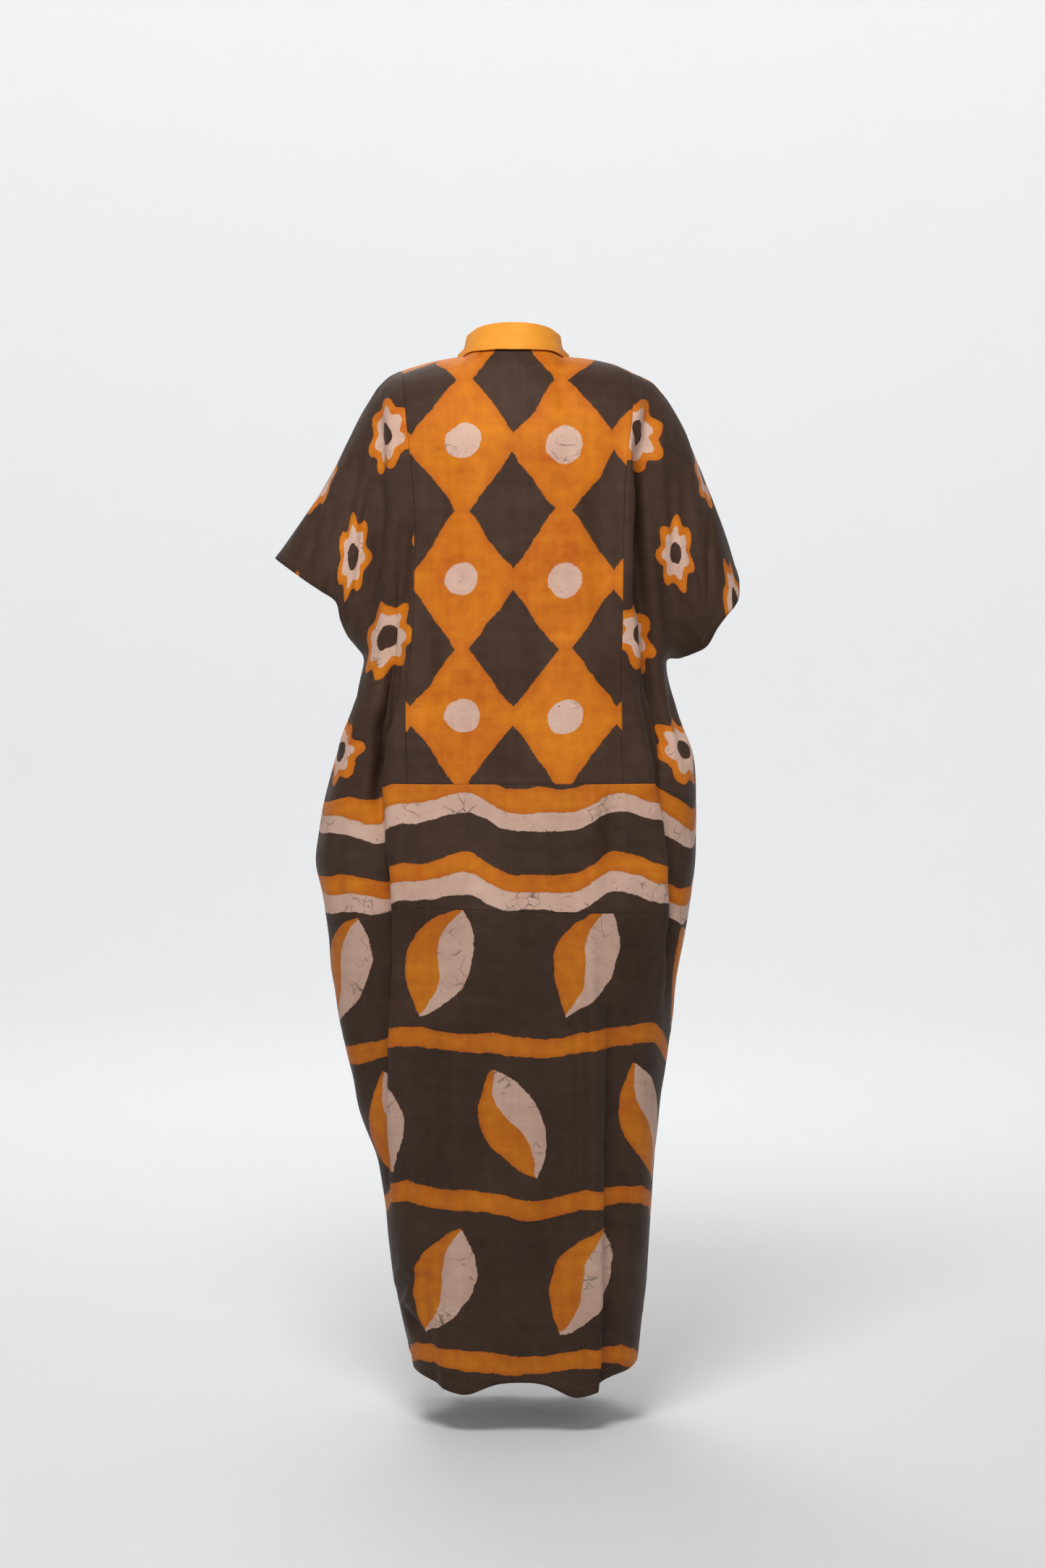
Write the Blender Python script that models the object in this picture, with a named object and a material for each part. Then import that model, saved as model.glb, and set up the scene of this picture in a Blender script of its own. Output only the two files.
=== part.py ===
"""A long, wide robe of dyed cotton with open sleeves, hollow and hanging as when it is worn.

The back is at +Y and the front at -Y, +X is the wearer's left, and the origin is the middle of the
neck opening, level with the shoulder seams. Sizes are in metres. A "drop" is how far a place is below
the origin, and "across" how far it is from the middle, on either side.
"""

import bpy
import numpy as np

WALL = 0.002
SEAM_GAP = 0.0003
COLLAR_WALL = 0.0016

# The seam lines round the robe, as drops at the middle of the back.
UNDERARM = 0.404
WAIST_SEAM = 0.562
HIP_SEAM = 0.728
HEM = 1.353
SIDE_SAG = 0.030  # the seam lines hang this much lower at the sides
HIP_TILT = 0.006  # and the hip seam this much lower on the right, higher on the left

NECK_WIDTH = 0.124
NECK_BACK_DEPTH = 0.068
NECK_FRONT_DEPTH = 0.084
NECK_BACK_RISE = 0.011
NECK_FRONT_DROP = 0.046
NECK_FRONT_POWER = 2.5  # how square the front of the neckline is
SLIT_WIDTH = 0.006
SLIT_ROWS = 6  # how many rows of the grid the slit goes down

SLEEVE_BULGE = 0.052  # how far each layer of the sleeve stands off its middle
SLEEVE_FULLEST = 0.40  # and at what share of the way down it does so
# How far down the cloth takes to round over from the top, by how far across it is.
ROUND_OVER = ((0, 0.06, 0.11, 0.17, 0.24), (0.16, 0.14, 0.10, 0.09, 0.07))
SOFTENING = 12  # rounds of evening out the depths round the neck
EASING = 0.45  # how far each point then moves to the middle of its neighbours
SQUARE = 2.9  # the power of the rounded-square sections

# Columns in each half of a sheet: from the middle to the neck's corner, to the panel seam, to the
# main fold, across it, and on to the side. The fold is worked out finely, and then keeps FOLD_STEPS.
SPANS = (5, 4, 2, 54, 7)
FOLD_STEPS = 9
# Rows, as shares of the way from the shoulder to the underarm, and counts below it.
UPPER_ROWS = (0, 0.025, 0.06, 0.11, 0.18, 0.27, 0.38, 0.50, 0.63, 0.76, 0.88, 1)
SIDE_ROWS = 3
BAND_ROWS = 4
SKIRT_ROWS = 9

NECK_COLUMN = SPANS[0]
SEAM_COLUMN = sum(SPANS[:2])
FOLD_START, FOLD_END, ALL_COLUMNS = sum(SPANS[:3]), sum(SPANS[:4]), sum(SPANS)
COLUMNS = ALL_COLUMNS - SPANS[3] + FOLD_STEPS
UNDERARM_ROW = len(UPPER_ROWS) - 1
WAIST_ROW = UNDERARM_ROW + SIDE_ROWS
HIP_ROW = WAIST_ROW + BAND_ROWS
HEM_ROW = HIP_ROW + SKIRT_ROWS


def columns(names, rows):
    """A table as a dictionary, one array for each named column."""
    return dict(zip(names.split(), np.array(rows, float).T))


BACK, FRONT = 1, -1

# The shoulder seam seen from behind, from the neck to the sleeve's tip.
SHOULDER = {
    1: columns(
        "across drop",
        [
            (0.062, 0.000),
            (0.096, 0.005),
            (0.149, 0.020),
            (0.163, 0.026),
            (0.187, 0.051),
            (0.209, 0.091),
            (0.248, 0.167),
            (0.288, 0.227),
            (0.317, 0.268),
        ],
    ),
    -1: columns(
        "across drop",
        [
            (0.062, 0.000),
            (0.105, 0.005),
            (0.142, 0.014),
            (0.162, 0.024),
            (0.184, 0.035),
            (0.212, 0.070),
            (0.230, 0.107),
            (0.248, 0.149),
            (0.285, 0.245),
            (0.299, 0.292),
        ],
    ),
}
# The sleeve's open edge, from its tip to the underarm, as shares of its length.
CUFF = {
    1: columns(
        "share across drop",
        [
            (0.00, 0.317, 0.268),
            (0.32, 0.265, 0.304),
            (0.52, 0.233, 0.327),
            (0.66, 0.227, 0.355),
            (1.00, 0.196, 0.404),
        ],
    ),
    -1: columns(
        "share across drop",
        [
            (0.00, 0.299, 0.292),
            (0.14, 0.298, 0.316),
            (0.48, 0.272, 0.356),
            (0.64, 0.256, 0.384),
            (1.00, 0.204, 0.406),
        ],
    ),
}
# The robe below the underarms: half widths seen from behind, and depths of the back and front.
BODY = columns(
    "drop left right back front",
    [
        (0.404, 0.196, 0.204, 0.122, 0.128),
        (0.454, 0.209, 0.212, 0.122, 0.130),
        (0.540, 0.239, 0.241, 0.122, 0.132),
        (0.609, 0.256, 0.244, 0.124, 0.134),
        (0.669, 0.263, 0.243, 0.127, 0.136),
        (0.728, 0.253, 0.235, 0.130, 0.138),
        (0.790, 0.245, 0.224, 0.132, 0.140),
        (0.850, 0.239, 0.214, 0.132, 0.142),
        (0.925, 0.221, 0.205, 0.131, 0.144),
        (1.010, 0.203, 0.194, 0.129, 0.145),
        (1.100, 0.176, 0.187, 0.126, 0.146),
        (1.200, 0.165, 0.181, 0.123, 0.147),
        (1.270, 0.154, 0.175, 0.121, 0.148),
        (1.345, 0.137, 0.165, 0.119, 0.149),
    ],
)
# Where the seam between the centre panel and the wing runs; below the waist it only guides columns.
PANEL_SEAM = {
    (BACK, 1): columns(
        "drop across",
        [
            (0.020, 0.149),
            (0.104, 0.140),
            (0.206, 0.130),
            (0.330, 0.132),
            (0.488, 0.143),
            (0.600, 0.140),
            (0.800, 0.112),
            (1.400, 0.066),
        ],
    ),
    (BACK, -1): columns(
        "drop across",
        [
            (0.020, 0.160),
            (0.075, 0.161),
            (0.160, 0.149),
            (0.353, 0.146),
            (0.488, 0.143),
            (0.600, 0.145),
            (0.800, 0.125),
            (1.400, 0.080),
        ],
    ),
    (FRONT, 1): columns(
        "drop across",
        [
            (0.020, 0.149),
            (0.200, 0.134),
            (0.400, 0.132),
            (0.600, 0.135),
            (0.800, 0.110),
            (1.400, 0.060),
        ],
    ),
    (FRONT, -1): columns(
        "drop across",
        [
            (0.020, 0.160),
            (0.200, 0.138),
            (0.400, 0.134),
            (0.600, 0.138),
            (0.800, 0.116),
            (1.400, 0.070),
        ],
    ),
}
# The main fold that a half's columns follow.
FOLD_LINE = {
    (BACK, 1): columns(
        "drop across",
        [
            (0.030, 0.172),
            (0.250, 0.170),
            (0.400, 0.168),
            (0.500, 0.168),
            (0.600, 0.174),
            (0.680, 0.159),
            (0.870, 0.160),
            (1.040, 0.158),
            (1.360, 0.115),
        ],
    ),
    (BACK, -1): columns(
        "drop across",
        [
            (0.030, 0.178),
            (0.106, 0.174),
            (0.198, 0.164),
            (0.309, 0.164),
            (0.390, 0.171),
            (0.490, 0.185),
            (0.600, 0.198),
            (0.730, 0.203),
            (0.880, 0.185),
            (1.360, 0.135),
        ],
    ),
    (FRONT, 1): columns(
        "drop across",
        [
            (0.030, 0.172),
            (0.180, 0.166),
            (0.400, 0.168),
            (0.560, 0.174),
            (0.728, 0.160),
            (0.900, 0.157),
            (1.120, 0.128),
            (1.360, 0.104),
        ],
    ),
    (FRONT, -1): columns(
        "drop across",
        [
            (0.030, 0.178),
            (0.180, 0.166),
            (0.360, 0.168),
            (0.600, 0.190),
            (0.760, 0.189),
            (0.960, 0.160),
            (1.200, 0.135),
            (1.360, 0.121),
        ],
    ),
}
# How far to each side of the main fold the fine columns go.
FOLD_REACH = columns("drop reach", [(0.0, 0.009), (0.45, 0.009), (0.60, 0.016), (1.36, 0.016)])
# The largest folds. Each starts and ends flat. "depth" is how far the cloth steps in past the fold,
# "run" how far it takes to come out again, and "lap" how far the two sides are slid over each other.
FOLD_COLUMNS = "drop across width depth lap run"
FOLDS = {
    (BACK, 1): {
        "side fold": columns(
            FOLD_COLUMNS,
            [
                (0.200, 0.100, 0.020, 0.000, 0.000, 0.030),
                (0.362, 0.126, 0.016, 0.010, 0.000, 0.028),
                (0.449, 0.147, 0.013, 0.020, 0.000, 0.026),
                (0.490, 0.160, 0.012, 0.025, 0.000, 0.026),
                (0.571, 0.173, 0.012, 0.029, 0.000, 0.028),
                (0.625, 0.173, 0.010, 0.032, 0.006, 0.035),
                (0.680, 0.159, 0.007, 0.034, 0.020, 0.045),
                (0.732, 0.156, 0.006, 0.034, 0.026, 0.045),
                (0.873, 0.160, 0.006, 0.032, 0.028, 0.045),
                (0.960, 0.164, 0.006, 0.026, 0.022, 0.030),
                (1.040, 0.166, 0.006, 0.018, 0.014, 0.020),
                (1.150, 0.166, 0.008, 0.000, 0.000, 0.010),
            ],
        ),
        "sleeve crease": columns(
            FOLD_COLUMNS,
            [
                (0.050, 0.170, 0.008, 0.000, 0.000, 0.012),
                (0.116, 0.172, 0.009, 0.012, 0.000, 0.014),
                (0.223, 0.169, 0.010, 0.016, 0.000, 0.016),
                (0.283, 0.178, 0.010, 0.015, 0.000, 0.016),
                (0.360, 0.188, 0.010, 0.008, 0.000, 0.014),
                (0.420, 0.196, 0.010, 0.000, 0.000, 0.012),
            ],
        ),
    },
    (BACK, -1): {
        "side fold": columns(
            FOLD_COLUMNS,
            [
                (0.050, 0.176, 0.007, 0.000, 0.000, 0.010),
                (0.106, 0.171, 0.007, 0.016, 0.000, 0.012),
                (0.150, 0.162, 0.007, 0.021, 0.000, 0.012),
                (0.198, 0.158, 0.007, 0.023, 0.000, 0.012),
                (0.309, 0.160, 0.007, 0.024, 0.000, 0.013),
                (0.390, 0.171, 0.007, 0.026, 0.000, 0.014),
                (0.490, 0.185, 0.007, 0.028, 0.000, 0.018),
                (0.571, 0.196, 0.007, 0.028, 0.006, 0.022),
                (0.662, 0.199, 0.006, 0.028, 0.020, 0.030),
                (0.727, 0.204, 0.006, 0.026, 0.022, 0.028),
                (0.784, 0.206, 0.006, 0.020, 0.016, 0.018),
                (0.830, 0.204, 0.006, 0.010, 0.008, 0.010),
                (0.900, 0.200, 0.007, 0.000, 0.000, 0.010),
            ],
        ),
        "sleeve crease": columns(
            FOLD_COLUMNS,
            [
                (0.140, 0.200, 0.010, 0.000, 0.000, 0.012),
                (0.220, 0.204, 0.009, 0.006, 0.000, 0.012),
                (0.300, 0.206, 0.008, 0.010, 0.000, 0.012),
                (0.400, 0.206, 0.008, 0.000, 0.000, 0.012),
            ],
        ),
    },
    (FRONT, 1): {
        "side fold": columns(
            FOLD_COLUMNS,
            [
                (0.060, 0.172, 0.009, 0.000, 0.000, 0.012),
                (0.180, 0.165, 0.009, 0.014, 0.000, 0.015),
                (0.340, 0.166, 0.010, 0.018, 0.000, 0.020),
                (0.560, 0.174, 0.010, 0.024, 0.000, 0.030),
                (0.728, 0.160, 0.008, 0.028, 0.014, 0.035),
                (0.900, 0.158, 0.007, 0.030, 0.022, 0.035),
                (1.120, 0.128, 0.007, 0.028, 0.024, 0.030),
                (1.420, 0.100, 0.008, 0.024, 0.020, 0.028),
            ],
        ),
        "chest fold": columns(
            FOLD_COLUMNS,
            [
                (0.240, 0.090, 0.020, 0.000, 0.000, 0.030),
                (0.480, 0.078, 0.016, 0.008, 0.000, 0.028),
                (0.800, 0.066, 0.014, 0.014, 0.000, 0.026),
                (1.420, 0.048, 0.012, 0.018, 0.000, 0.022),
            ],
        ),
    },
    (FRONT, -1): {
        "side fold": columns(
            FOLD_COLUMNS,
            [
                (0.060, 0.174, 0.009, 0.000, 0.000, 0.012),
                (0.180, 0.162, 0.009, 0.016, 0.000, 0.015),
                (0.360, 0.168, 0.009, 0.022, 0.000, 0.018),
                (0.600, 0.190, 0.009, 0.024, 0.004, 0.026),
                (0.760, 0.190, 0.007, 0.026, 0.018, 0.030),
                (0.960, 0.160, 0.007, 0.028, 0.022, 0.030),
                (1.200, 0.135, 0.007, 0.026, 0.022, 0.028),
                (1.420, 0.118, 0.008, 0.024, 0.020, 0.026),
            ],
        ),
        "chest fold": columns(
            FOLD_COLUMNS,
            [
                (0.300, 0.098, 0.020, 0.000, 0.000, 0.030),
                (0.560, 0.088, 0.016, 0.010, 0.000, 0.028),
                (0.900, 0.068, 0.014, 0.012, 0.000, 0.026),
                (1.420, 0.040, 0.012, 0.016, 0.000, 0.022),
            ],
        ),
    },
}
SILHOUETTE_MARGIN = 0.012  # folds fade out this near the outline

# The hem's waves: where each lobe is along X, how wide, and how much lower it hangs.
HEM_LOBES = {
    BACK: columns("at width fall", [(0.068, 0.032, 0.018), (-0.090, 0.034, 0.024)]),
    FRONT: columns("at width fall", [(0.075, 0.036, 0.012), (-0.070, 0.034, 0.014)]),
}
HEM_SIDE_RISE = 0.016

# The folded collar's middle line: it leans in as it rises from the neck's edge, then folds over the
# top and comes down outside.
COLLAR_PROFILE = columns(
    "lean out rise",
    [
        (0.00, 0.00, 0.00),
        (0.40, 0.02, 0.45),
        (0.92, 0.05, 0.86),
        (1.00, 0.16, 1.00),
        (0.92, 0.34, 0.95),
        (0.45, 0.62, 0.60),
        (0.00, 1.00, 0.13),
    ],
)
# The collar's sizes at the back, the sides and the front, and how far round each of these is.
COLLAR_ROUND = (0, 0.25, 1)
COLLAR_LEAN = (0.0055, 0.0140, 0.0)
COLLAR_HEIGHT = (0.0262, 0.0140, 0.0190)
COLLAR_SPREAD = (0.013, 0.012, 0.009)
COLLAR_OPENING = 0.012

CLOTH_COLOUR = (0.072, 0.040, 0.028)
COLLAR_COLOUR = (0.93, 0.38, 0.035)
CLOTH_ROUGHNESS = 0.72


def through(x, y, at):
    """A smooth curve through points with x rising, which never overshoots them."""
    step = np.diff(x)
    slope = np.diff(y) / step
    turn = slope[:-1] * slope[1:]
    lean = np.zeros(len(x))
    lean[1:-1] = np.where(turn > 0, 2 * turn / (slope[:-1] + slope[1:] + (turn <= 0)), 0)
    lean[0], lean[-1] = slope[0], slope[-1]
    i = np.clip(np.searchsorted(x, at) - 1, 0, len(step) - 1)
    s = np.clip((at - x[i]) / step[i], 0, 1)
    start = (1 + 2 * s) * (1 - s) ** 2 * y[i] + s * (1 - s) ** 2 * step[i] * lean[i]
    return start + s * s * (3 - 2 * s) * y[i + 1] + s * s * (s - 1) * step[i] * lean[i + 1]


def unit(v):
    return v / np.maximum(np.linalg.norm(v, axis=-1, keepdims=True), 1e-12)


def ease(s):
    """Goes from 0 to 1 with flat ends as s does."""
    s = np.clip(s, 0, 1)
    return s * s * (3 - 2 * s)


def rounded(s):
    """A quarter circle: from 0, straight up, to 1, level."""
    return np.sqrt(1 - (1 - np.clip(s, 0, 1)) ** 2)


def fill(anchors):
    """Column places between anchors, which are the first axis, by the counts in SPANS."""
    parts = [anchors[:1]]
    for k, count in enumerate(SPANS):
        share = np.arange(1, count + 1).reshape(-1, *[1] * (anchors.ndim - 1)) / count
        parts.append(anchors[k] + (anchors[k + 1] - anchors[k]) * share)
    return np.concatenate(parts)


def neck_edge(layer, across):
    """The depth and drop of the neck opening's edge, back or front."""
    share = np.clip(across / (NECK_WIDTH / 2), 0, 1)
    middle = np.sqrt(1 - share**2)
    if layer == BACK:
        return NECK_BACK_DEPTH * middle, -NECK_BACK_RISE * middle
    return -NECK_FRONT_DEPTH * middle, NECK_FRONT_DROP * (1 - share**NECK_FRONT_POWER)


def section(side, layer, across_share, drop):
    """Across and depth on the plain section at a drop; across_share is 1 at the side."""
    half = through(BODY["drop"], BODY["left" if side > 0 else "right"], drop)
    deep = through(BODY["drop"], BODY["back" if layer == BACK else "front"], drop)
    turn = np.clip(across_share, 0, 1) ** SQUARE
    return half * across_share, layer * deep * (1 - turn) ** (1 / SQUARE)


def section_columns(side, layer, drop):
    """Where the columns are across a half section at the drops, and as shares of its half width."""
    half = through(BODY["drop"], BODY["left" if side > 0 else "right"], drop)
    seam = through(*PANEL_SEAM[layer, side].values(), drop)
    fold = through(*FOLD_LINE[layer, side].values(), drop)
    reach = through(*FOLD_REACH.values(), drop)
    anchors = [0 * seam, 0.42 * seam, seam, fold - reach, fold + reach, half]
    rows = fill(np.stack([np.broadcast_to(a, drop.shape) for a in anchors]))
    # Each column has its own drop, so take the matching column of each row.
    across = np.stack([rows[j, ..., j] for j in range(ALL_COLUMNS + 1)], axis=-1)
    share = across / half
    # Past the fold, columns are evenly spaced round the side instead of across it.
    begin = share[..., FOLD_END : FOLD_END + 1]
    turn = np.arcsin(np.clip(begin, 0, 1) ** (SQUARE / 2))
    step = np.arange(SPANS[4] + 1) / SPANS[4]
    share[..., FOLD_END:] = np.sin(turn + (np.pi / 2 - turn) * step) ** (2 / SQUARE)
    return share * half, share


def lower_places(side, layer):
    """The plain points of one half of a layer, from the underarm down to the hem."""
    column = np.arange(ALL_COLUMNS + 1)
    to_side = ease(np.interp(column, (FOLD_START, FOLD_END, ALL_COLUMNS), (0, 0.4, 1)))
    from_middle = np.interp(column, (0, SEAM_COLUMN, FOLD_END, ALL_COLUMNS), (0, 0.6, 0.8, 1))
    waist = WAIST_SEAM + SIDE_SAG * to_side
    hip = HIP_SEAM - side * HIP_TILT * from_middle + SIDE_SAG * to_side
    lines = [np.full(ALL_COLUMNS + 1, UNDERARM), waist, hip]
    drops = []
    for start, end, rows in zip(lines, lines[1:], (SIDE_ROWS, BAND_ROWS)):
        drops += [start + (end - start) * i / rows for i in range(rows)]
    hem_across = section_columns(side, layer, np.full(ALL_COLUMNS + 1, HEM))[0] * side
    hem = HEM - HEM_SIDE_RISE * to_side
    lobes = HEM_LOBES[layer]
    for at, width, fall in zip(lobes["at"], lobes["width"], lobes["fall"]):
        hem = hem + fall * np.exp(-(((hem_across - at) / width) ** 2))
    drops += [hip + (hem - hip) * i / SKIRT_ROWS for i in range(SKIRT_ROWS + 1)]
    drop = np.array(drops)
    across, share = section_columns(side, layer, drop)
    across, depth = section(side, layer, share, drop)
    return np.stack([across * side, depth, -drop], axis=-1)


def upper_places(side, layer, bottom):
    """The plain points from the shoulder seam and neck down to the underarm row, which is bottom."""
    shoulder, cuff = SHOULDER[side], CUFF[side]
    seam_line, fold_line = PANEL_SEAM[layer, side], FOLD_LINE[layer, side]
    seam_top, fold_top = seam_line["across"][0], fold_line["across"][0]
    reach = FOLD_REACH["reach"][0]
    tip = shoulder["across"][-1]
    neck = NECK_WIDTH / 2
    top_across = fill(np.array([0, neck, seam_top, fold_top - reach, fold_top + reach, tip]))
    top_across[:NECK_COLUMN] = neck * np.sin(np.arange(NECK_COLUMN) / NECK_COLUMN * np.pi / 2)
    on_neck = top_across < neck
    neck_depth, neck_drop = neck_edge(layer, top_across)
    top_drop = np.where(on_neck, neck_drop, through(shoulder["across"], shoulder["drop"], top_across))
    top_depth = np.where(on_neck, neck_depth, 0)
    low_across, low_depth, low_drop = bottom[:, 0] * side, bottom[:, 1], -bottom[:, 2]
    past_shoulder = ease((top_across - fold_top) / (tip - fold_top))
    out = np.clip((top_across - fold_top) / (tip - fold_top), 0, 1) ** 2
    places = []
    for share in UPPER_ROWS:
        drop = top_drop * (1 - share) + low_drop * share
        across = top_across * (1 - share) + low_across * share
        edge_move = through(cuff["share"], cuff["across"], share) - across[-1]
        edge_fall = through(cuff["share"], cuff["drop"], share) - drop[-1]
        # The seam and fold columns follow their own lines, and their neighbours follow them.
        seam_at = through(*seam_line.values(), drop[SEAM_COLUMN])
        fold_at = through(*fold_line.values(), drop[(FOLD_START + FOLD_END) // 2])
        knots = [0, SEAM_COLUMN, FOLD_START, FOLD_END, ALL_COLUMNS]
        fold_move = fold_at - (across[FOLD_START] + across[FOLD_END]) / 2
        moves = [0, seam_at - across[SEAM_COLUMN], fold_move, fold_move, 0]
        across = across + np.interp(np.arange(ALL_COLUMNS + 1), knots, moves)
        across = across + edge_move * out
        drop = drop + edge_fall * out
        length = np.hypot(low_drop - top_drop, low_across - top_across)
        round_over = np.interp(top_across, *ROUND_OVER)
        over = rounded(share * length / round_over)
        depth = top_depth + (low_depth - top_depth) * over
        after_fullest = (share - SLEEVE_FULLEST) / (1 - SLEEVE_FULLEST)
        swell = rounded(share / SLEEVE_FULLEST) * (1 - ease(after_fullest))
        depth = depth * (1 - past_shoulder * (1 - share))
        depth = depth + layer * SLEEVE_BULGE * past_shoulder * swell
        places.append(np.stack([across * side, depth, -drop], axis=-1))
    return np.array(places)


def soften(upper):
    """Evens out the depths from column to column round the neck, but not along the seams."""
    depth = upper[..., 1]
    for _ in range(SOFTENING):
        beside = np.concatenate([depth[:, 1:2], depth[:, :FOLD_START]], axis=1)
        after = depth[:, 1 : FOLD_START + 2]
        depth[1:-1, : FOLD_START + 1] += (beside + after - 2 * depth[:, : FOLD_START + 1])[1:-1] / 4
    return upper


def folded(side, layer, grid):
    """The half layer with its largest folds."""
    outward, down = unit(np.gradient(grid, axis=1)), unit(np.gradient(grid, axis=0))
    normal = unit(np.cross(outward, down)) * side * layer
    across, drop = np.abs(grid[..., 0]), -grid[..., 2]
    outline = np.concatenate([across[:UNDERARM_ROW, -1:] + 1, across[UNDERARM_ROW:, -1:]])
    clear = ease((outline - across) / SILHOUETTE_MARGIN)
    moved = grid.copy()
    for fold in FOLDS[layer, side].values():
        at, width, depth, lap, run = (
            through(fold["drop"], fold[name], drop) for name in FOLD_COLUMNS.split()[1:]
        )
        past = (across - at) / width
        back_out = np.exp(-((np.maximum(across - at, 0) / run) ** 2))
        inwards = depth * ease((past + 1) / 2) * back_out * clear
        slide = lap / 2 * past * np.exp((1 - past**2) / 2) * clear
        moved -= normal * inwards[..., None] + outward * slide[..., None]
    return moved


def evened(grid):
    """The half layer with the fold's many columns made few, evenly spaced along the cloth."""
    rows = []
    for row in grid[:, FOLD_START : FOLD_END + 1]:
        along = np.concatenate([[0], np.cumsum(np.linalg.norm(np.diff(row, axis=0), axis=1))])
        at = np.linspace(0, along[-1], FOLD_STEPS + 1)
        rows.append(np.stack([np.interp(at, along, row[:, k]) for k in range(3)], axis=-1))
    grid = np.concatenate([grid[:, :FOLD_START], rows, grid[:, FOLD_END + 1 :]], axis=1)
    beside = (grid[:, :-2] + grid[:, 2:]) / 2
    grid[1:, 1:-1] += (beside - grid[:, 1:-1])[1:] * EASING
    return grid


def half_layer(side, layer):
    """The middle surface of one half of the back or front, from the middle out to the side."""
    lower = lower_places(side, layer)
    upper = upper_places(side, layer, lower[0])
    return evened(folded(side, layer, np.concatenate([soften(upper)[:-1], lower])))


def whole_layer(layer):
    """Both halves side by side: the first column is the left side, the last the right side."""
    left, right = half_layer(1, layer), half_layer(-1, layer)
    return np.concatenate([left[:, ::-1], right[:, 1:]], axis=1)


def vertex_normals(grid, layer):
    """Outward normals at a grid's points, averaged over the faces round each."""
    one = grid[1:, 1:] - grid[:-1, :-1]
    other = grid[:-1, 1:] - grid[1:, :-1]
    face = unit(np.cross(one, other)) * layer
    normal = np.zeros_like(grid)
    for di in (0, 1):
        for dj in (0, 1):
            rows = slice(di, di + face.shape[0])
            normal[rows, dj : dj + face.shape[1]] += face
    return normal


def robe_layers():
    """The middle surfaces of both layers, with matching normals along the seams they share."""
    grids = {layer: whole_layer(layer) for layer in (BACK, FRONT)}
    normals = {layer: vertex_normals(grids[layer], layer) for layer in grids}
    neck = slice(COLUMNS - NECK_COLUMN + 1, COLUMNS + NECK_COLUMN)
    shared = np.zeros(grids[BACK].shape[:2], bool)
    shared[0] = True
    shared[0, neck] = False
    shared[UNDERARM_ROW:, 0] = shared[UNDERARM_ROW:, -1] = True
    place = (grids[BACK] + grids[FRONT]) / 2
    both = normals[BACK] + normals[FRONT]
    for layer in grids:
        grids[layer][shared] = place[shared]
        normals[layer][shared] = both[shared]
    return grids, {layer: unit(normals[layer]) for layer in normals}


def set_back(edge, ways, inner):
    """A sewn edge moved in by half the seam gap, at right angles to the seam."""
    push = unit(np.cross(ways, np.gradient(edge, axis=0)))
    return edge + push * np.sign(np.sum(push * (inner - edge))) * SEAM_GAP / 2


def sewn_panel(points, ways, sewn):
    """A block of points with its sewn edges set back."""
    points = points.copy()
    reach = SEAM_COLUMN - NECK_COLUMN + 1
    edges = {
        "top": (0, 1),
        "bottom": (-1, -2),
        "left": (np.s_[:, 0], np.s_[:, 1]),
        "right": (np.s_[:, -1], np.s_[:, -2]),
        "shoulder_left": (np.s_[0, :reach], np.s_[1, :reach]),
        "shoulder_right": (np.s_[0, -reach:], np.s_[1, -reach:]),
        "side_left": (np.s_[UNDERARM_ROW:, 0], np.s_[UNDERARM_ROW:, 1]),
        "side_right": (np.s_[UNDERARM_ROW:, -1], np.s_[UNDERARM_ROW:, -2]),
    }
    for edge in sewn.split():
        at, inner = edges[edge]
        points[at] = set_back(points[at], ways[at], points[inner])
    return points


def cloth(name, blocks, wall, material, outside=1):
    """One closed piece of cloth: blocks of points and normals, joined where they meet."""
    place, ids, corners = [], {}, []

    def point(p, n):
        key = tuple(np.round(p, 7))
        if key not in ids:
            ids[key] = len(place)
            place.append((p, n))
        return ids[key]

    for points, normals in blocks:
        number = [[point(p, n) for p, n in zip(*row)] for row in zip(points, normals)]
        for above, below in zip(number, number[1:]):
            corners += zip(above, below, below[1:], above[1:])
    count = len(place)
    outer = [p + n * wall / 2 for p, n in place]
    inner = [p - n * wall / 2 for p, n in place]
    # Both walls are cut along the same diagonals, so that twisted cloth keeps its thickness.
    faces = []
    for a, b, c, d in corners:
        faces += [(a, b, c), (a, c, d)] if outside > 0 else [(a, c, b), (a, d, c)]
    inside = [(a + count, c + count, b + count) for a, b, c in faces]
    edges = {(face[k], face[(k + 1) % 3]) for face in faces for k in range(3)}
    rim = []
    for a, b in sorted(edge for edge in edges if edge[::-1] not in edges):
        back, front = b + count, a + count
        rim += [(a, front, back), (a, back, b)] if a < b else [(a, front, b), (front, back, b)]
    mesh = bpy.data.meshes.new(name)
    mesh.from_pydata(outer + inner, [], faces + inside + rim)
    mesh.materials.append(material)
    mesh.shade_smooth()
    mesh.update()
    piece = bpy.data.objects.new(name, mesh)
    bpy.context.scene.collection.objects.link(piece)
    return piece


def fabric(name, colour):
    """Dyed cotton: matt, with no metal."""
    material = bpy.data.materials.new(name)
    material.use_nodes = True
    shader = material.node_tree.nodes["Principled BSDF"]
    shader.inputs["Base Color"].default_value = (*colour, 1)
    shader.inputs["Roughness"].default_value = CLOTH_ROUGHNESS
    shader.inputs["Metallic"].default_value = 0
    return material


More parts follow.
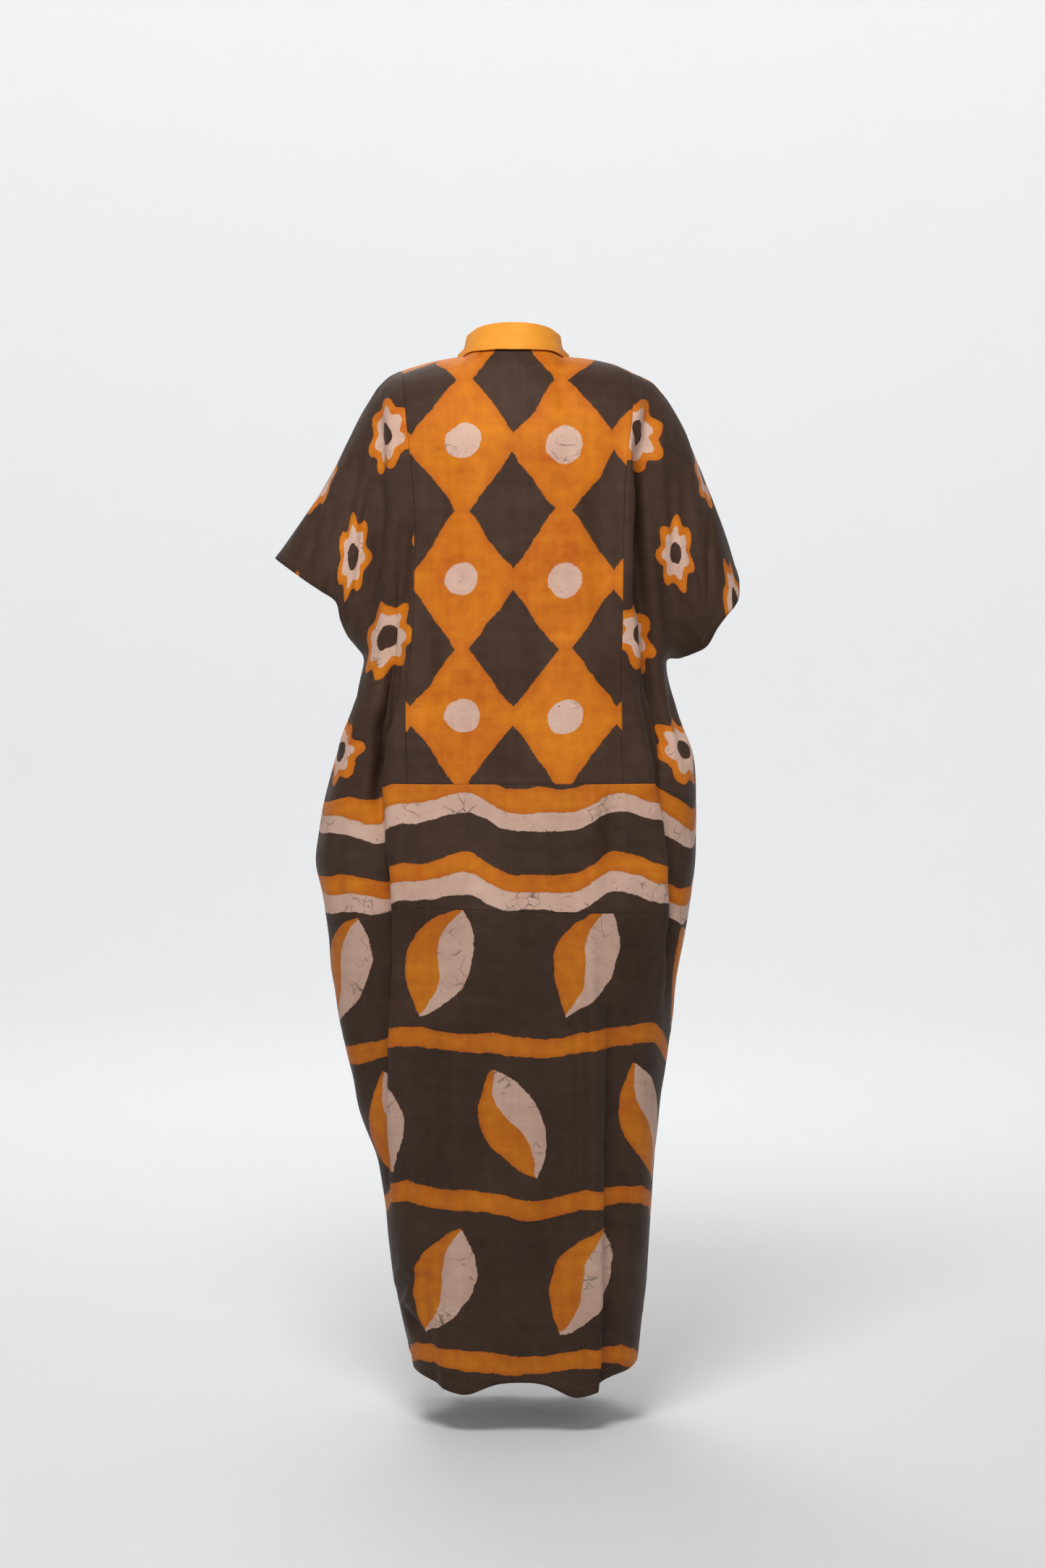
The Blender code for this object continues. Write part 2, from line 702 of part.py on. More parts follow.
def build_panels(grids, normals, material):
    """The five back panels and the five front panels."""
    middle = COLUMNS
    left_seam, right_seam, last = middle - SEAM_COLUMN, middle + SEAM_COLUMN, 2 * COLUMNS
    panels = {
        "center": (0, WAIST_ROW, left_seam, right_seam, "bottom left right shoulder_left shoulder_right"),
        "wing_left": (0, WAIST_ROW, 0, left_seam, "top bottom right side_left"),
        "wing_right": (0, WAIST_ROW, right_seam, last, "top bottom left side_right"),
        "waist": (WAIST_ROW, HIP_ROW, 0, last, "top bottom left right"),
        "skirt": (HIP_ROW, HEM_ROW, 0, last, "top left right"),
    }
    for layer, word in ((BACK, "back"), (FRONT, "front")):
        for part, (top, bottom, start, end, sewn) in panels.items():
            block = slice(top, bottom + 1), slice(start, end + 1)
            points, ways = grids[layer][block], normals[layer][block]
            points = sewn_panel(points, ways, sewn)
            blocks = slit(points, ways) if part == "center" and layer == FRONT else [(points, ways)]
            cloth(f"{word}_{part}", blocks, WALL, material, layer)


def slit(points, ways):
    """The front's neck slit: two halves that part above its end, and are one below it."""
    middle = SEAM_COLUMN
    opening = np.zeros(len(points))
    opening[:SLIT_ROWS] = SLIT_WIDTH / 2 * (1 - (np.arange(SLIT_ROWS) / SLIT_ROWS) ** 2)
    left, right = points[:, : middle + 1].copy(), points[:, middle:].copy()
    left[:, -1, 0] += opening
    right[:, 0, 0] -= opening
    return [(left, ways[:, : middle + 1]), (right, ways[:, middle:])]


def build_collar(grids, normals, material):
    """A folded collar: a stand on the neck's edge and a fall outside it, open at the front."""
    left, right = COLUMNS - NECK_COLUMN, COLUMNS + NECK_COLUMN

    def round_neck(layers):
        front, back = layers[FRONT][0], layers[BACK][0]
        sides = front[left : COLUMNS + 1][::-1], front[COLUMNS : right + 1][::-1]
        return np.concatenate([sides[0], back[left + 1 : right], sides[1]])

    ring, ways = round_neck(grids), round_neck(normals)
    # The collar stops short of the slit on both sides, still in line with the neck's edge.
    for end, beside in ((0, 1), (-1, -2)):
        step = ring[beside] - ring[end]
        ring[end] += step * COLLAR_OPENING / 2 / abs(step[0])
        ways[end] = ways[beside]
    centre = np.array([0, (NECK_BACK_DEPTH - NECK_FRONT_DEPTH) / 2, 0])
    away = unit(np.cross(ways, np.gradient(ring, axis=0)))
    away *= np.sign(np.sum(away * (ring - centre)))
    to_front = ease((1 - unit(ring - centre)[:, 1:2]) / 2)
    up = unit(ways * to_front + np.array([0, 0, 1.0]) * (1 - to_front))
    foot = ring + ways * WALL / 2 + up * (SEAM_GAP + COLLAR_WALL / 4)
    lean, height, spread = (
        np.interp(to_front, COLLAR_ROUND, sizes) for sizes in (COLLAR_LEAN, COLLAR_HEIGHT, COLLAR_SPREAD)
    )
    profile = zip(*COLLAR_PROFILE.values())
    rows = []
    for inwards, out, rise in profile:
        rows.append(foot + away * (spread * out - lean * inwards) + up * height * rise)
    grid = np.array(rows)
    cloth("collar", [(grid, unit(vertex_normals(grid, BACK)))], COLLAR_WALL, material, BACK)


def main():
    for thing in list(bpy.data.objects):
        bpy.data.objects.remove(thing)
    grids, normals = robe_layers()
    build_panels(grids, normals, fabric("dyed_cotton", CLOTH_COLOUR))
    build_collar(grids, normals, fabric("collar_cotton", COLLAR_COLOUR))


main()
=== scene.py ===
"""The long, wide robe of wax-dyed cotton, as worn and seen from behind, in a pale studio.

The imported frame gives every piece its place. The back is at +Y, the front at -Y, +X is the robe's own
left, and the origin is the middle of the neck opening. Sizes are in metres. A "drop" is how far a place
is below the origin, and "across" how far it is from the middle, on either side.
"""

import math

import bmesh
import bpy
import numpy as np
from mathutils import Matrix, Vector


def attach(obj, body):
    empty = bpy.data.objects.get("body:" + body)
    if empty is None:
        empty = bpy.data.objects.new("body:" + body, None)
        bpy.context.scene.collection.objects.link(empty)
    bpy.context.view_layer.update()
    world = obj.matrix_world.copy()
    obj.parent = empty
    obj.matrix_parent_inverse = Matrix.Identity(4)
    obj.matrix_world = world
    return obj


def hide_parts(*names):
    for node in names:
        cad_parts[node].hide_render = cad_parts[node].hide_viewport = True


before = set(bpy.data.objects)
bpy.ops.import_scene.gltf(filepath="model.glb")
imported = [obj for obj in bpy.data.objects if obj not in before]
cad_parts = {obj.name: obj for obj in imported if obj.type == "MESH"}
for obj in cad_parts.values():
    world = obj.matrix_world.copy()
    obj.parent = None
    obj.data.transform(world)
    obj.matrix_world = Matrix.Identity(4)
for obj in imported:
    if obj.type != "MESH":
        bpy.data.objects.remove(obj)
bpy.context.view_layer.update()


# Studio
# A pale painted floor, round and wide, that curves up into a wall all round, with no edge between
# them. It is matt, so that it only takes the soft shadow under the hem.
FLOOR_DROP = 1.425
WALL_DISTANCE, WALL_HEIGHT = 6.5, 5.0
WALL_SIDES = 72
COVE_RADIUS = 2.2
COVE_SEGMENTS = 24
CORNER_ANGLE = 1.0  # faces that meet at more than this, in radians, get the cove between them
MERGE_WITHIN = 0.001
FLOOR_COLOUR, FLOOR_ROUGHNESS = (0.90, 0.905, 0.91), 0.75


def shown(name, bm):
    """A new object with this mesh, in the scene."""
    mesh = bpy.data.meshes.new(name)
    bm.to_mesh(mesh)
    bm.free()
    piece = bpy.data.objects.new(name, mesh)
    bpy.context.scene.collection.objects.link(piece)
    return piece


def new_material(name):
    """A new material, and the tree of its nodes."""
    material = bpy.data.materials.new(name)
    material.use_nodes = True
    return material, material.node_tree


def studio_floor():
    """The floor and wall in one sheet, bent round a cove where they meet."""
    bm = bmesh.new()
    places = ((0, -FLOOR_DROP), (WALL_DISTANCE, -FLOOR_DROP), (WALL_DISTANCE, WALL_HEIGHT - FLOOR_DROP))
    profile = [bm.verts.new((0, y, z)) for y, z in places]
    edges = [bm.edges.new(pair) for pair in zip(profile, profile[1:])]
    whole_turn = {"cent": (0, 0, 0), "axis": (0, 0, 1), "angle": math.tau, "use_merge": True}
    bmesh.ops.spin(bm, geom=profile + edges, steps=WALL_SIDES, **whole_turn)
    bmesh.ops.remove_doubles(bm, verts=bm.verts, dist=MERGE_WITHIN)
    inner = [edge for edge in bm.edges if len(edge.link_faces) == 2]
    corner = [edge for edge in inner if edge.calc_face_angle() > CORNER_ANGLE]
    cove = {"affect": "EDGES", "segments": COVE_SEGMENTS, "profile": 0.5, "material": -1}
    bmesh.ops.bevel(bm, geom=corner, offset=COVE_RADIUS, **cove)
    bmesh.ops.recalc_face_normals(bm, faces=bm.faces)
    floor = shown("studio_floor", bm)
    floor.data.shade_smooth()
    paint, tree = new_material("studio_paint")
    shader = tree.nodes["Principled BSDF"]
    shader.inputs["Base Color"].default_value = (*FLOOR_COLOUR, 1)
    shader.inputs["Roughness"].default_value = FLOOR_ROUGHNESS
    floor.data.materials.append(paint)
    return floor


studio_floor()


# Camera and light
# The camera stands behind the robe at waist height and looks slightly down, as in the photograph.
# The soft key light hangs high, near the shoulders, so that the robe darkens towards its hem. A weaker
# one fills from beside the camera, a third lights the wall, and a fourth the robe's front.
VIEW_HEIGHT = 2.095  # how much of the robe's plane the frame takes in
VIEW_CENTRE = (-0.012, 0, -0.569)
CAMERA_DISTANCE = 4.8
CAMERA_RISE = 0.30  # how far the camera is above the middle of its view
SENSOR = 0.036
FARTHEST_SEEN = 50


def aimed(thing, place, target):
    """Puts a camera or light at a place and points it at a target."""
    thing.location = place
    thing.rotation_euler = (Vector(target) - Vector(place)).to_track_quat("-Z", "Y").to_euler()
    bpy.context.scene.collection.objects.link(thing)


camera = bpy.data.cameras.new("camera")
camera.sensor_width = SENSOR * 1000
camera.lens = camera.sensor_width * CAMERA_DISTANCE / VIEW_HEIGHT
camera.clip_end = FARTHEST_SEEN
viewer = bpy.data.objects.new("camera", camera)
aimed(viewer, (VIEW_CENTRE[0], CAMERA_DISTANCE, VIEW_CENTRE[2] + CAMERA_RISE), VIEW_CENTRE)
bpy.context.scene.camera = viewer

# Each light's place, target, size and power.
SOFT_LIGHTS = {
    "key_light": ((0.35, 1.9, 1.65), (-0.02, 0.1, -0.25), (1.0, 1.0), 57),
    "fill_light": ((-0.7, 4.5, 1.2), (0.0, 0.0, -0.9), (1.6, 1.6), 22),
    "wall_light": ((0.0, -2.2, 3.4), (0.0, -6.5, 0.2), (6.0, 1.0), 165),
    "front_light": ((0.6, -2.6, 2.2), (0.0, -0.1, -0.5), (1.6, 1.6), 34),
}
for name, (place, target, size, power) in SOFT_LIGHTS.items():
    lamp = bpy.data.lights.new(name, "AREA")
    lamp.shape, lamp.energy = "RECTANGLE", power
    lamp.size, lamp.size_y = size
    aimed(bpy.data.objects.new(name, lamp), place, target)

SKY_COLOUR, SKY_STRENGTH = (0.98, 0.99, 1.0), 0.10
sky = bpy.data.worlds.new("studio_sky")
sky.use_nodes = True
sky.node_tree.nodes["Background"].inputs["Color"].default_value = (*SKY_COLOUR, 1)
sky.node_tree.nodes["Background"].inputs["Strength"].default_value = SKY_STRENGTH
bpy.context.scene.world = sky
bpy.context.scene.view_settings.view_transform = "Standard"


# Hang of the cloth
# Every panel is cut from one of two layers, the back and the front, and hangs from the shoulders in
# a few deep folds. These are the same sections, seam lines and folds as the solids of the robe have.
UNDERARM, WAIST_SEAM, HIP_SEAM, HEM = 0.404, 0.562, 0.728, 1.353  # drops at the middle of the back
SIDE_SAG = 0.030  # the seam lines hang this much lower at the sides
HIP_TILT = 0.006  # and the hip seam this much lower on the right, higher on the left

NECK_WIDTH = 0.124
NECK_BACK_DEPTH, NECK_FRONT_DEPTH = 0.068, 0.084
NECK_BACK_RISE, NECK_FRONT_DROP = 0.011, 0.046
NECK_FRONT_POWER = 2.5  # how square the front of the neckline is

SLEEVE_BULGE = 0.052  # how far each layer of the sleeve stands off its middle
SLEEVE_FULLEST = 0.40  # and at what share of the way down it does so
# How far down the cloth takes to round over from the top, by how far across it is.
ROUND_OVER = ((0, 0.06, 0.11, 0.17, 0.24), (0.16, 0.14, 0.10, 0.09, 0.07))
SOFTENING = 12  # rounds of evening out the depths round the neck
EASING = 0.45  # how far each point then moves to the middle of its neighbours
SQUARE = 2.9  # the power of the rounded-square sections

# Columns in each half of a sheet: from the middle to the neck's corner, to the panel seam, to the
# main fold, across it, and on to the side. The fold is worked out finely, and then keeps FOLD_STEPS.
SPANS = (5, 4, 2, 54, 7)
FOLD_STEPS = 9
# Rows, as shares of the way from the shoulder to the underarm, and counts below it.
UPPER_ROWS = (0, 0.025, 0.06, 0.11, 0.18, 0.27, 0.38, 0.50, 0.63, 0.76, 0.88, 1)
SIDE_ROWS, BAND_ROWS, SKIRT_ROWS = 3, 4, 9

NECK_COLUMN = SPANS[0]
SEAM_COLUMN = sum(SPANS[:2])
FOLD_START, FOLD_END, ALL_COLUMNS = sum(SPANS[:3]), sum(SPANS[:4]), sum(SPANS)
COLUMNS = ALL_COLUMNS - SPANS[3] + FOLD_STEPS
UNDERARM_ROW = len(UPPER_ROWS) - 1
WAIST_ROW = UNDERARM_ROW + SIDE_ROWS
HIP_ROW = WAIST_ROW + BAND_ROWS
HEM_ROW = HIP_ROW + SKIRT_ROWS


def columns(names, *rows):
    """A table as a dictionary, one array for each named column."""
    return dict(zip(names.split(), np.array(rows, float).T))


BACK, FRONT = 1, -1

# The shoulder seam seen from behind, from the neck to the sleeve's tip.
SHOULDER = {
    1: columns(
        "across drop",
        (0.062, 0.000), (0.096, 0.005), (0.149, 0.020), (0.163, 0.026), (0.187, 0.051),
        (0.209, 0.091), (0.248, 0.167), (0.288, 0.227), (0.317, 0.268),
    ),
    -1: columns(
        "across drop",
        (0.062, 0.000), (0.105, 0.005), (0.142, 0.014), (0.162, 0.024), (0.184, 0.035),
        (0.212, 0.070), (0.230, 0.107), (0.248, 0.149), (0.285, 0.245), (0.299, 0.292),
    ),
}
# The sleeve's open edge, from its tip to the underarm, as shares of its length.
CUFF = {
    1: columns(
        "share across drop",
        (0.00, 0.317, 0.268), (0.32, 0.265, 0.304), (0.52, 0.233, 0.327), (0.66, 0.227, 0.355),
        (1.00, 0.196, 0.404),
    ),
    -1: columns(
        "share across drop",
        (0.00, 0.299, 0.292), (0.14, 0.298, 0.316), (0.48, 0.272, 0.356), (0.64, 0.256, 0.384),
        (1.00, 0.204, 0.406),
    ),
}
# The robe below the underarms: half widths seen from behind, and depths of the back and front.
BODY = columns(
    "drop left right back front",
    (0.404, 0.196, 0.204, 0.122, 0.128),
    (0.454, 0.209, 0.212, 0.122, 0.130),
    (0.540, 0.239, 0.241, 0.122, 0.132),
    (0.609, 0.256, 0.244, 0.124, 0.134),
    (0.669, 0.263, 0.243, 0.127, 0.136),
    (0.728, 0.253, 0.235, 0.130, 0.138),
    (0.790, 0.245, 0.224, 0.132, 0.140),
    (0.850, 0.239, 0.214, 0.132, 0.142),
    (0.925, 0.221, 0.205, 0.131, 0.144),
    (1.010, 0.203, 0.194, 0.129, 0.145),
    (1.100, 0.176, 0.187, 0.126, 0.146),
    (1.200, 0.165, 0.181, 0.123, 0.147),
    (1.270, 0.154, 0.175, 0.121, 0.148),
    (1.345, 0.137, 0.165, 0.119, 0.149),
)
# Where the seam between the centre panel and the wing runs; below the waist it only guides columns.
PANEL_SEAM = {
    (BACK, 1): columns(
        "drop across",
        (0.020, 0.149), (0.104, 0.140), (0.206, 0.130), (0.330, 0.132), (0.488, 0.143),
        (0.600, 0.140), (0.800, 0.112), (1.400, 0.066),
    ),
    (BACK, -1): columns(
        "drop across",
        (0.020, 0.160), (0.075, 0.161), (0.160, 0.149), (0.353, 0.146), (0.488, 0.143),
        (0.600, 0.145), (0.800, 0.125), (1.400, 0.080),
    ),
    (FRONT, 1): columns(
        "drop across",
        (0.020, 0.149), (0.200, 0.134), (0.400, 0.132), (0.600, 0.135), (0.800, 0.110),
        (1.400, 0.060),
    ),
    (FRONT, -1): columns(
        "drop across",
        (0.020, 0.160), (0.200, 0.138), (0.400, 0.134), (0.600, 0.138), (0.800, 0.116),
        (1.400, 0.070),
    ),
}
# The main fold that a half's columns follow.
FOLD_LINE = {
    (BACK, 1): columns(
        "drop across",
        (0.030, 0.172), (0.250, 0.170), (0.400, 0.168), (0.500, 0.168), (0.600, 0.174),
        (0.680, 0.159), (0.870, 0.160), (1.040, 0.158), (1.360, 0.115),
    ),
    (BACK, -1): columns(
        "drop across",
        (0.030, 0.178), (0.106, 0.174), (0.198, 0.164), (0.309, 0.164), (0.390, 0.171),
        (0.490, 0.185), (0.600, 0.198), (0.730, 0.203), (0.880, 0.185), (1.360, 0.135),
    ),
    (FRONT, 1): columns(
        "drop across",
        (0.030, 0.172), (0.180, 0.166), (0.400, 0.168), (0.560, 0.174), (0.728, 0.160),
        (0.900, 0.157), (1.120, 0.128), (1.360, 0.104),
    ),
    (FRONT, -1): columns(
        "drop across",
        (0.030, 0.178), (0.180, 0.166), (0.360, 0.168), (0.600, 0.190), (0.760, 0.189),
        (0.960, 0.160), (1.200, 0.135), (1.360, 0.121),
    ),
}
# How far to each side of the main fold the fine columns go.
FOLD_REACH = columns("drop reach", (0.0, 0.009), (0.45, 0.009), (0.60, 0.016), (1.36, 0.016))
# The largest folds. Each starts and ends flat. "depth" is how far the cloth steps in past the fold,
# "run" how far it takes to come out again, and "lap" how far the two sides are slid over each other.
FOLD_COLUMNS = "drop across width depth lap run"
FOLDS = {
    (BACK, 1): {
        "side fold": columns(
            FOLD_COLUMNS,
            (0.200, 0.100, 0.020, 0.000, 0.000, 0.030),
            (0.362, 0.126, 0.016, 0.010, 0.000, 0.028),
            (0.449, 0.147, 0.013, 0.020, 0.000, 0.026),
            (0.490, 0.160, 0.012, 0.025, 0.000, 0.026),
            (0.571, 0.173, 0.012, 0.029, 0.000, 0.028),
            (0.625, 0.173, 0.010, 0.032, 0.006, 0.035),
            (0.680, 0.159, 0.007, 0.034, 0.020, 0.045),
            (0.732, 0.156, 0.006, 0.034, 0.026, 0.045),
            (0.873, 0.160, 0.006, 0.032, 0.028, 0.045),
            (0.960, 0.164, 0.006, 0.026, 0.022, 0.030),
            (1.040, 0.166, 0.006, 0.018, 0.014, 0.020),
            (1.150, 0.166, 0.008, 0.000, 0.000, 0.010),
        ),
        "sleeve crease": columns(
            FOLD_COLUMNS,
            (0.050, 0.170, 0.008, 0.000, 0.000, 0.012),
            (0.116, 0.172, 0.009, 0.012, 0.000, 0.014),
            (0.223, 0.169, 0.010, 0.016, 0.000, 0.016),
            (0.283, 0.178, 0.010, 0.015, 0.000, 0.016),
            (0.360, 0.188, 0.010, 0.008, 0.000, 0.014),
            (0.420, 0.196, 0.010, 0.000, 0.000, 0.012),
        ),
    },
    (BACK, -1): {
        "side fold": columns(
            FOLD_COLUMNS,
            (0.050, 0.176, 0.007, 0.000, 0.000, 0.010),
            (0.106, 0.171, 0.007, 0.016, 0.000, 0.012),
            (0.150, 0.162, 0.007, 0.021, 0.000, 0.012),
            (0.198, 0.158, 0.007, 0.023, 0.000, 0.012),
            (0.309, 0.160, 0.007, 0.024, 0.000, 0.013),
            (0.390, 0.171, 0.007, 0.026, 0.000, 0.014),
            (0.490, 0.185, 0.007, 0.028, 0.000, 0.018),
            (0.571, 0.196, 0.007, 0.028, 0.006, 0.022),
            (0.662, 0.199, 0.006, 0.028, 0.020, 0.030),
            (0.727, 0.204, 0.006, 0.026, 0.022, 0.028),
            (0.784, 0.206, 0.006, 0.020, 0.016, 0.018),
            (0.830, 0.204, 0.006, 0.010, 0.008, 0.010),
            (0.900, 0.200, 0.007, 0.000, 0.000, 0.010),
        ),
        "sleeve crease": columns(
            FOLD_COLUMNS,
            (0.140, 0.200, 0.010, 0.000, 0.000, 0.012),
            (0.220, 0.204, 0.009, 0.006, 0.000, 0.012),
            (0.300, 0.206, 0.008, 0.010, 0.000, 0.012),
            (0.400, 0.206, 0.008, 0.000, 0.000, 0.012),
        ),
    },
    (FRONT, 1): {
        "side fold": columns(
            FOLD_COLUMNS,
            (0.060, 0.172, 0.009, 0.000, 0.000, 0.012),
            (0.180, 0.165, 0.009, 0.014, 0.000, 0.015),
            (0.340, 0.166, 0.010, 0.018, 0.000, 0.020),
            (0.560, 0.174, 0.010, 0.024, 0.000, 0.030),
            (0.728, 0.160, 0.008, 0.028, 0.014, 0.035),
            (0.900, 0.158, 0.007, 0.030, 0.022, 0.035),
            (1.120, 0.128, 0.007, 0.028, 0.024, 0.030),
            (1.420, 0.100, 0.008, 0.024, 0.020, 0.028),
        ),
        "chest fold": columns(
            FOLD_COLUMNS,
            (0.240, 0.090, 0.020, 0.000, 0.000, 0.030),
            (0.480, 0.078, 0.016, 0.008, 0.000, 0.028),
            (0.800, 0.066, 0.014, 0.014, 0.000, 0.026),
            (1.420, 0.048, 0.012, 0.018, 0.000, 0.022),
        ),
    },
    (FRONT, -1): {
        "side fold": columns(
            FOLD_COLUMNS,
            (0.060, 0.174, 0.009, 0.000, 0.000, 0.012),
            (0.180, 0.162, 0.009, 0.016, 0.000, 0.015),
            (0.360, 0.168, 0.009, 0.022, 0.000, 0.018),
            (0.600, 0.190, 0.009, 0.024, 0.004, 0.026),
            (0.760, 0.190, 0.007, 0.026, 0.018, 0.030),
            (0.960, 0.160, 0.007, 0.028, 0.022, 0.030),
            (1.200, 0.135, 0.007, 0.026, 0.022, 0.028),
            (1.420, 0.118, 0.008, 0.024, 0.020, 0.026),
        ),
        "chest fold": columns(
            FOLD_COLUMNS,
            (0.300, 0.098, 0.020, 0.000, 0.000, 0.030),
            (0.560, 0.088, 0.016, 0.010, 0.000, 0.028),
            (0.900, 0.068, 0.014, 0.012, 0.000, 0.026),
            (1.420, 0.040, 0.012, 0.016, 0.000, 0.022),
        ),
    },
}
SILHOUETTE_MARGIN = 0.012  # folds fade out this near the outline

# The hem's waves: where each lobe is along X, how wide, and how much lower it hangs.
HEM_LOBES = {
    BACK: columns("at width fall", (0.068, 0.032, 0.018), (-0.090, 0.034, 0.024)),
    FRONT: columns("at width fall", (0.075, 0.036, 0.012), (-0.070, 0.034, 0.014)),
}
HEM_SIDE_RISE = 0.016
INNER_SHARE = 0.42  # the neck corner's column runs at this share of the way to the panel seam
SAG_SHARES = (0, 0.4, 1)  # how much of the sag there is before the main fold, past it and at the side
TILT_SHARES = (0, 0.6, 0.8, 1)  # and of the tilt at the middle, the panel seam, past the fold and the side


def through(x, y, at):
    """A smooth curve through points with x rising, which never overshoots them."""
    step = np.diff(x)
    slope = np.diff(y) / step
    turn = slope[:-1] * slope[1:]
    lean = np.zeros(len(x))
    lean[1:-1] = np.where(turn > 0, 2 * turn / (slope[:-1] + slope[1:] + (turn <= 0)), 0)
    lean[0], lean[-1] = slope[0], slope[-1]
    i = np.clip(np.searchsorted(x, at) - 1, 0, len(step) - 1)
    s = np.clip((at - x[i]) / step[i], 0, 1)
    start = (1 + 2 * s) * (1 - s) ** 2 * y[i] + s * (1 - s) ** 2 * step[i] * lean[i]
    return start + s * s * (3 - 2 * s) * y[i + 1] + s * s * (s - 1) * step[i] * lean[i + 1]


def unit(v):
    """The vectors at length 1."""
    return v / np.maximum(np.linalg.norm(v, axis=-1, keepdims=True), 1e-12)


def distances(line):
    """How far each point of a line is from its first, along it."""
    return np.concatenate([[0], np.cumsum(np.linalg.norm(np.diff(line, axis=0), axis=1))])


def ease(s):
    """Goes from 0 to 1 with flat ends as s does."""
    s = np.clip(s, 0, 1)
    return s * s * (3 - 2 * s)


def rounded(s):
    """A quarter circle: from 0, straight up, to 1, level."""
    return np.sqrt(1 - (1 - np.clip(s, 0, 1)) ** 2)


def fill(anchors):
    """Column places between anchors, which are the first axis, by the counts in SPANS."""
    parts = [anchors[:1]]
    for k, count in enumerate(SPANS):
        share = np.arange(1, count + 1).reshape(-1, *[1] * (anchors.ndim - 1)) / count
        parts.append(anchors[k] + (anchors[k + 1] - anchors[k]) * share)
    return np.concatenate(parts)


def neck_edge(layer, across):
    """The depth and drop of the neck opening's edge, back or front."""
    share = np.clip(across / (NECK_WIDTH / 2), 0, 1)
    middle = np.sqrt(1 - share**2)
    if layer == BACK:
        return NECK_BACK_DEPTH * middle, -NECK_BACK_RISE * middle
    return -NECK_FRONT_DEPTH * middle, NECK_FRONT_DROP * (1 - share**NECK_FRONT_POWER)


def section(side, layer, across_share, drop):
    """Across and depth on the plain section at a drop; across_share is 1 at the side."""
    half = through(BODY["drop"], BODY["left" if side > 0 else "right"], drop)
    deep = through(BODY["drop"], BODY["back" if layer == BACK else "front"], drop)
    turn = np.clip(across_share, 0, 1) ** SQUARE
    return half * across_share, layer * deep * (1 - turn) ** (1 / SQUARE)


def section_columns(side, layer, drop):
    """Where the columns are across a half section at the drops, and as shares of its half width."""
    half = through(BODY["drop"], BODY["left" if side > 0 else "right"], drop)
    seam = through(*PANEL_SEAM[layer, side].values(), drop)
    fold = through(*FOLD_LINE[layer, side].values(), drop)
    reach = through(*FOLD_REACH.values(), drop)
    anchors = [0 * seam, INNER_SHARE * seam, seam, fold - reach, fold + reach, half]
    rows = fill(np.stack([np.broadcast_to(a, drop.shape) for a in anchors]))
    # Each column has its own drop, so take the matching column of each row.
    across = np.stack([rows[j, ..., j] for j in range(ALL_COLUMNS + 1)], axis=-1)
    share = across / half
    # Past the fold, columns are evenly spaced round the side instead of across it.
    begin = share[..., FOLD_END : FOLD_END + 1]
    turn = np.arcsin(np.clip(begin, 0, 1) ** (SQUARE / 2))
    step = np.arange(SPANS[4] + 1) / SPANS[4]
    share[..., FOLD_END:] = np.sin(turn + (np.pi / 2 - turn) * step) ** (2 / SQUARE)
    return share * half, share


def lower_places(side, layer):
    """The plain points of one half of a layer, from the underarm down to the hem."""
    column = np.arange(ALL_COLUMNS + 1)
    to_side = ease(np.interp(column, (FOLD_START, FOLD_END, ALL_COLUMNS), SAG_SHARES))
    from_middle = np.interp(column, (0, SEAM_COLUMN, FOLD_END, ALL_COLUMNS), TILT_SHARES)
    waist = WAIST_SEAM + SIDE_SAG * to_side
    hip = HIP_SEAM - side * HIP_TILT * from_middle + SIDE_SAG * to_side
    lines = [np.full(ALL_COLUMNS + 1, UNDERARM), waist, hip]
    drops = []
    for start, end, rows in zip(lines, lines[1:], (SIDE_ROWS, BAND_ROWS)):
        drops += [start + (end - start) * i / rows for i in range(rows)]
    hem_across = section_columns(side, layer, np.full(ALL_COLUMNS + 1, HEM))[0] * side
    hem = HEM - HEM_SIDE_RISE * to_side
    lobes = HEM_LOBES[layer]
    for at, width, fall in zip(lobes["at"], lobes["width"], lobes["fall"]):
        hem = hem + fall * np.exp(-(((hem_across - at) / width) ** 2))
    drops += [hip + (hem - hip) * i / SKIRT_ROWS for i in range(SKIRT_ROWS + 1)]
    drop = np.array(drops)
    across, share = section_columns(side, layer, drop)
    across, depth = section(side, layer, share, drop)
    return np.stack([across * side, depth, -drop], axis=-1)


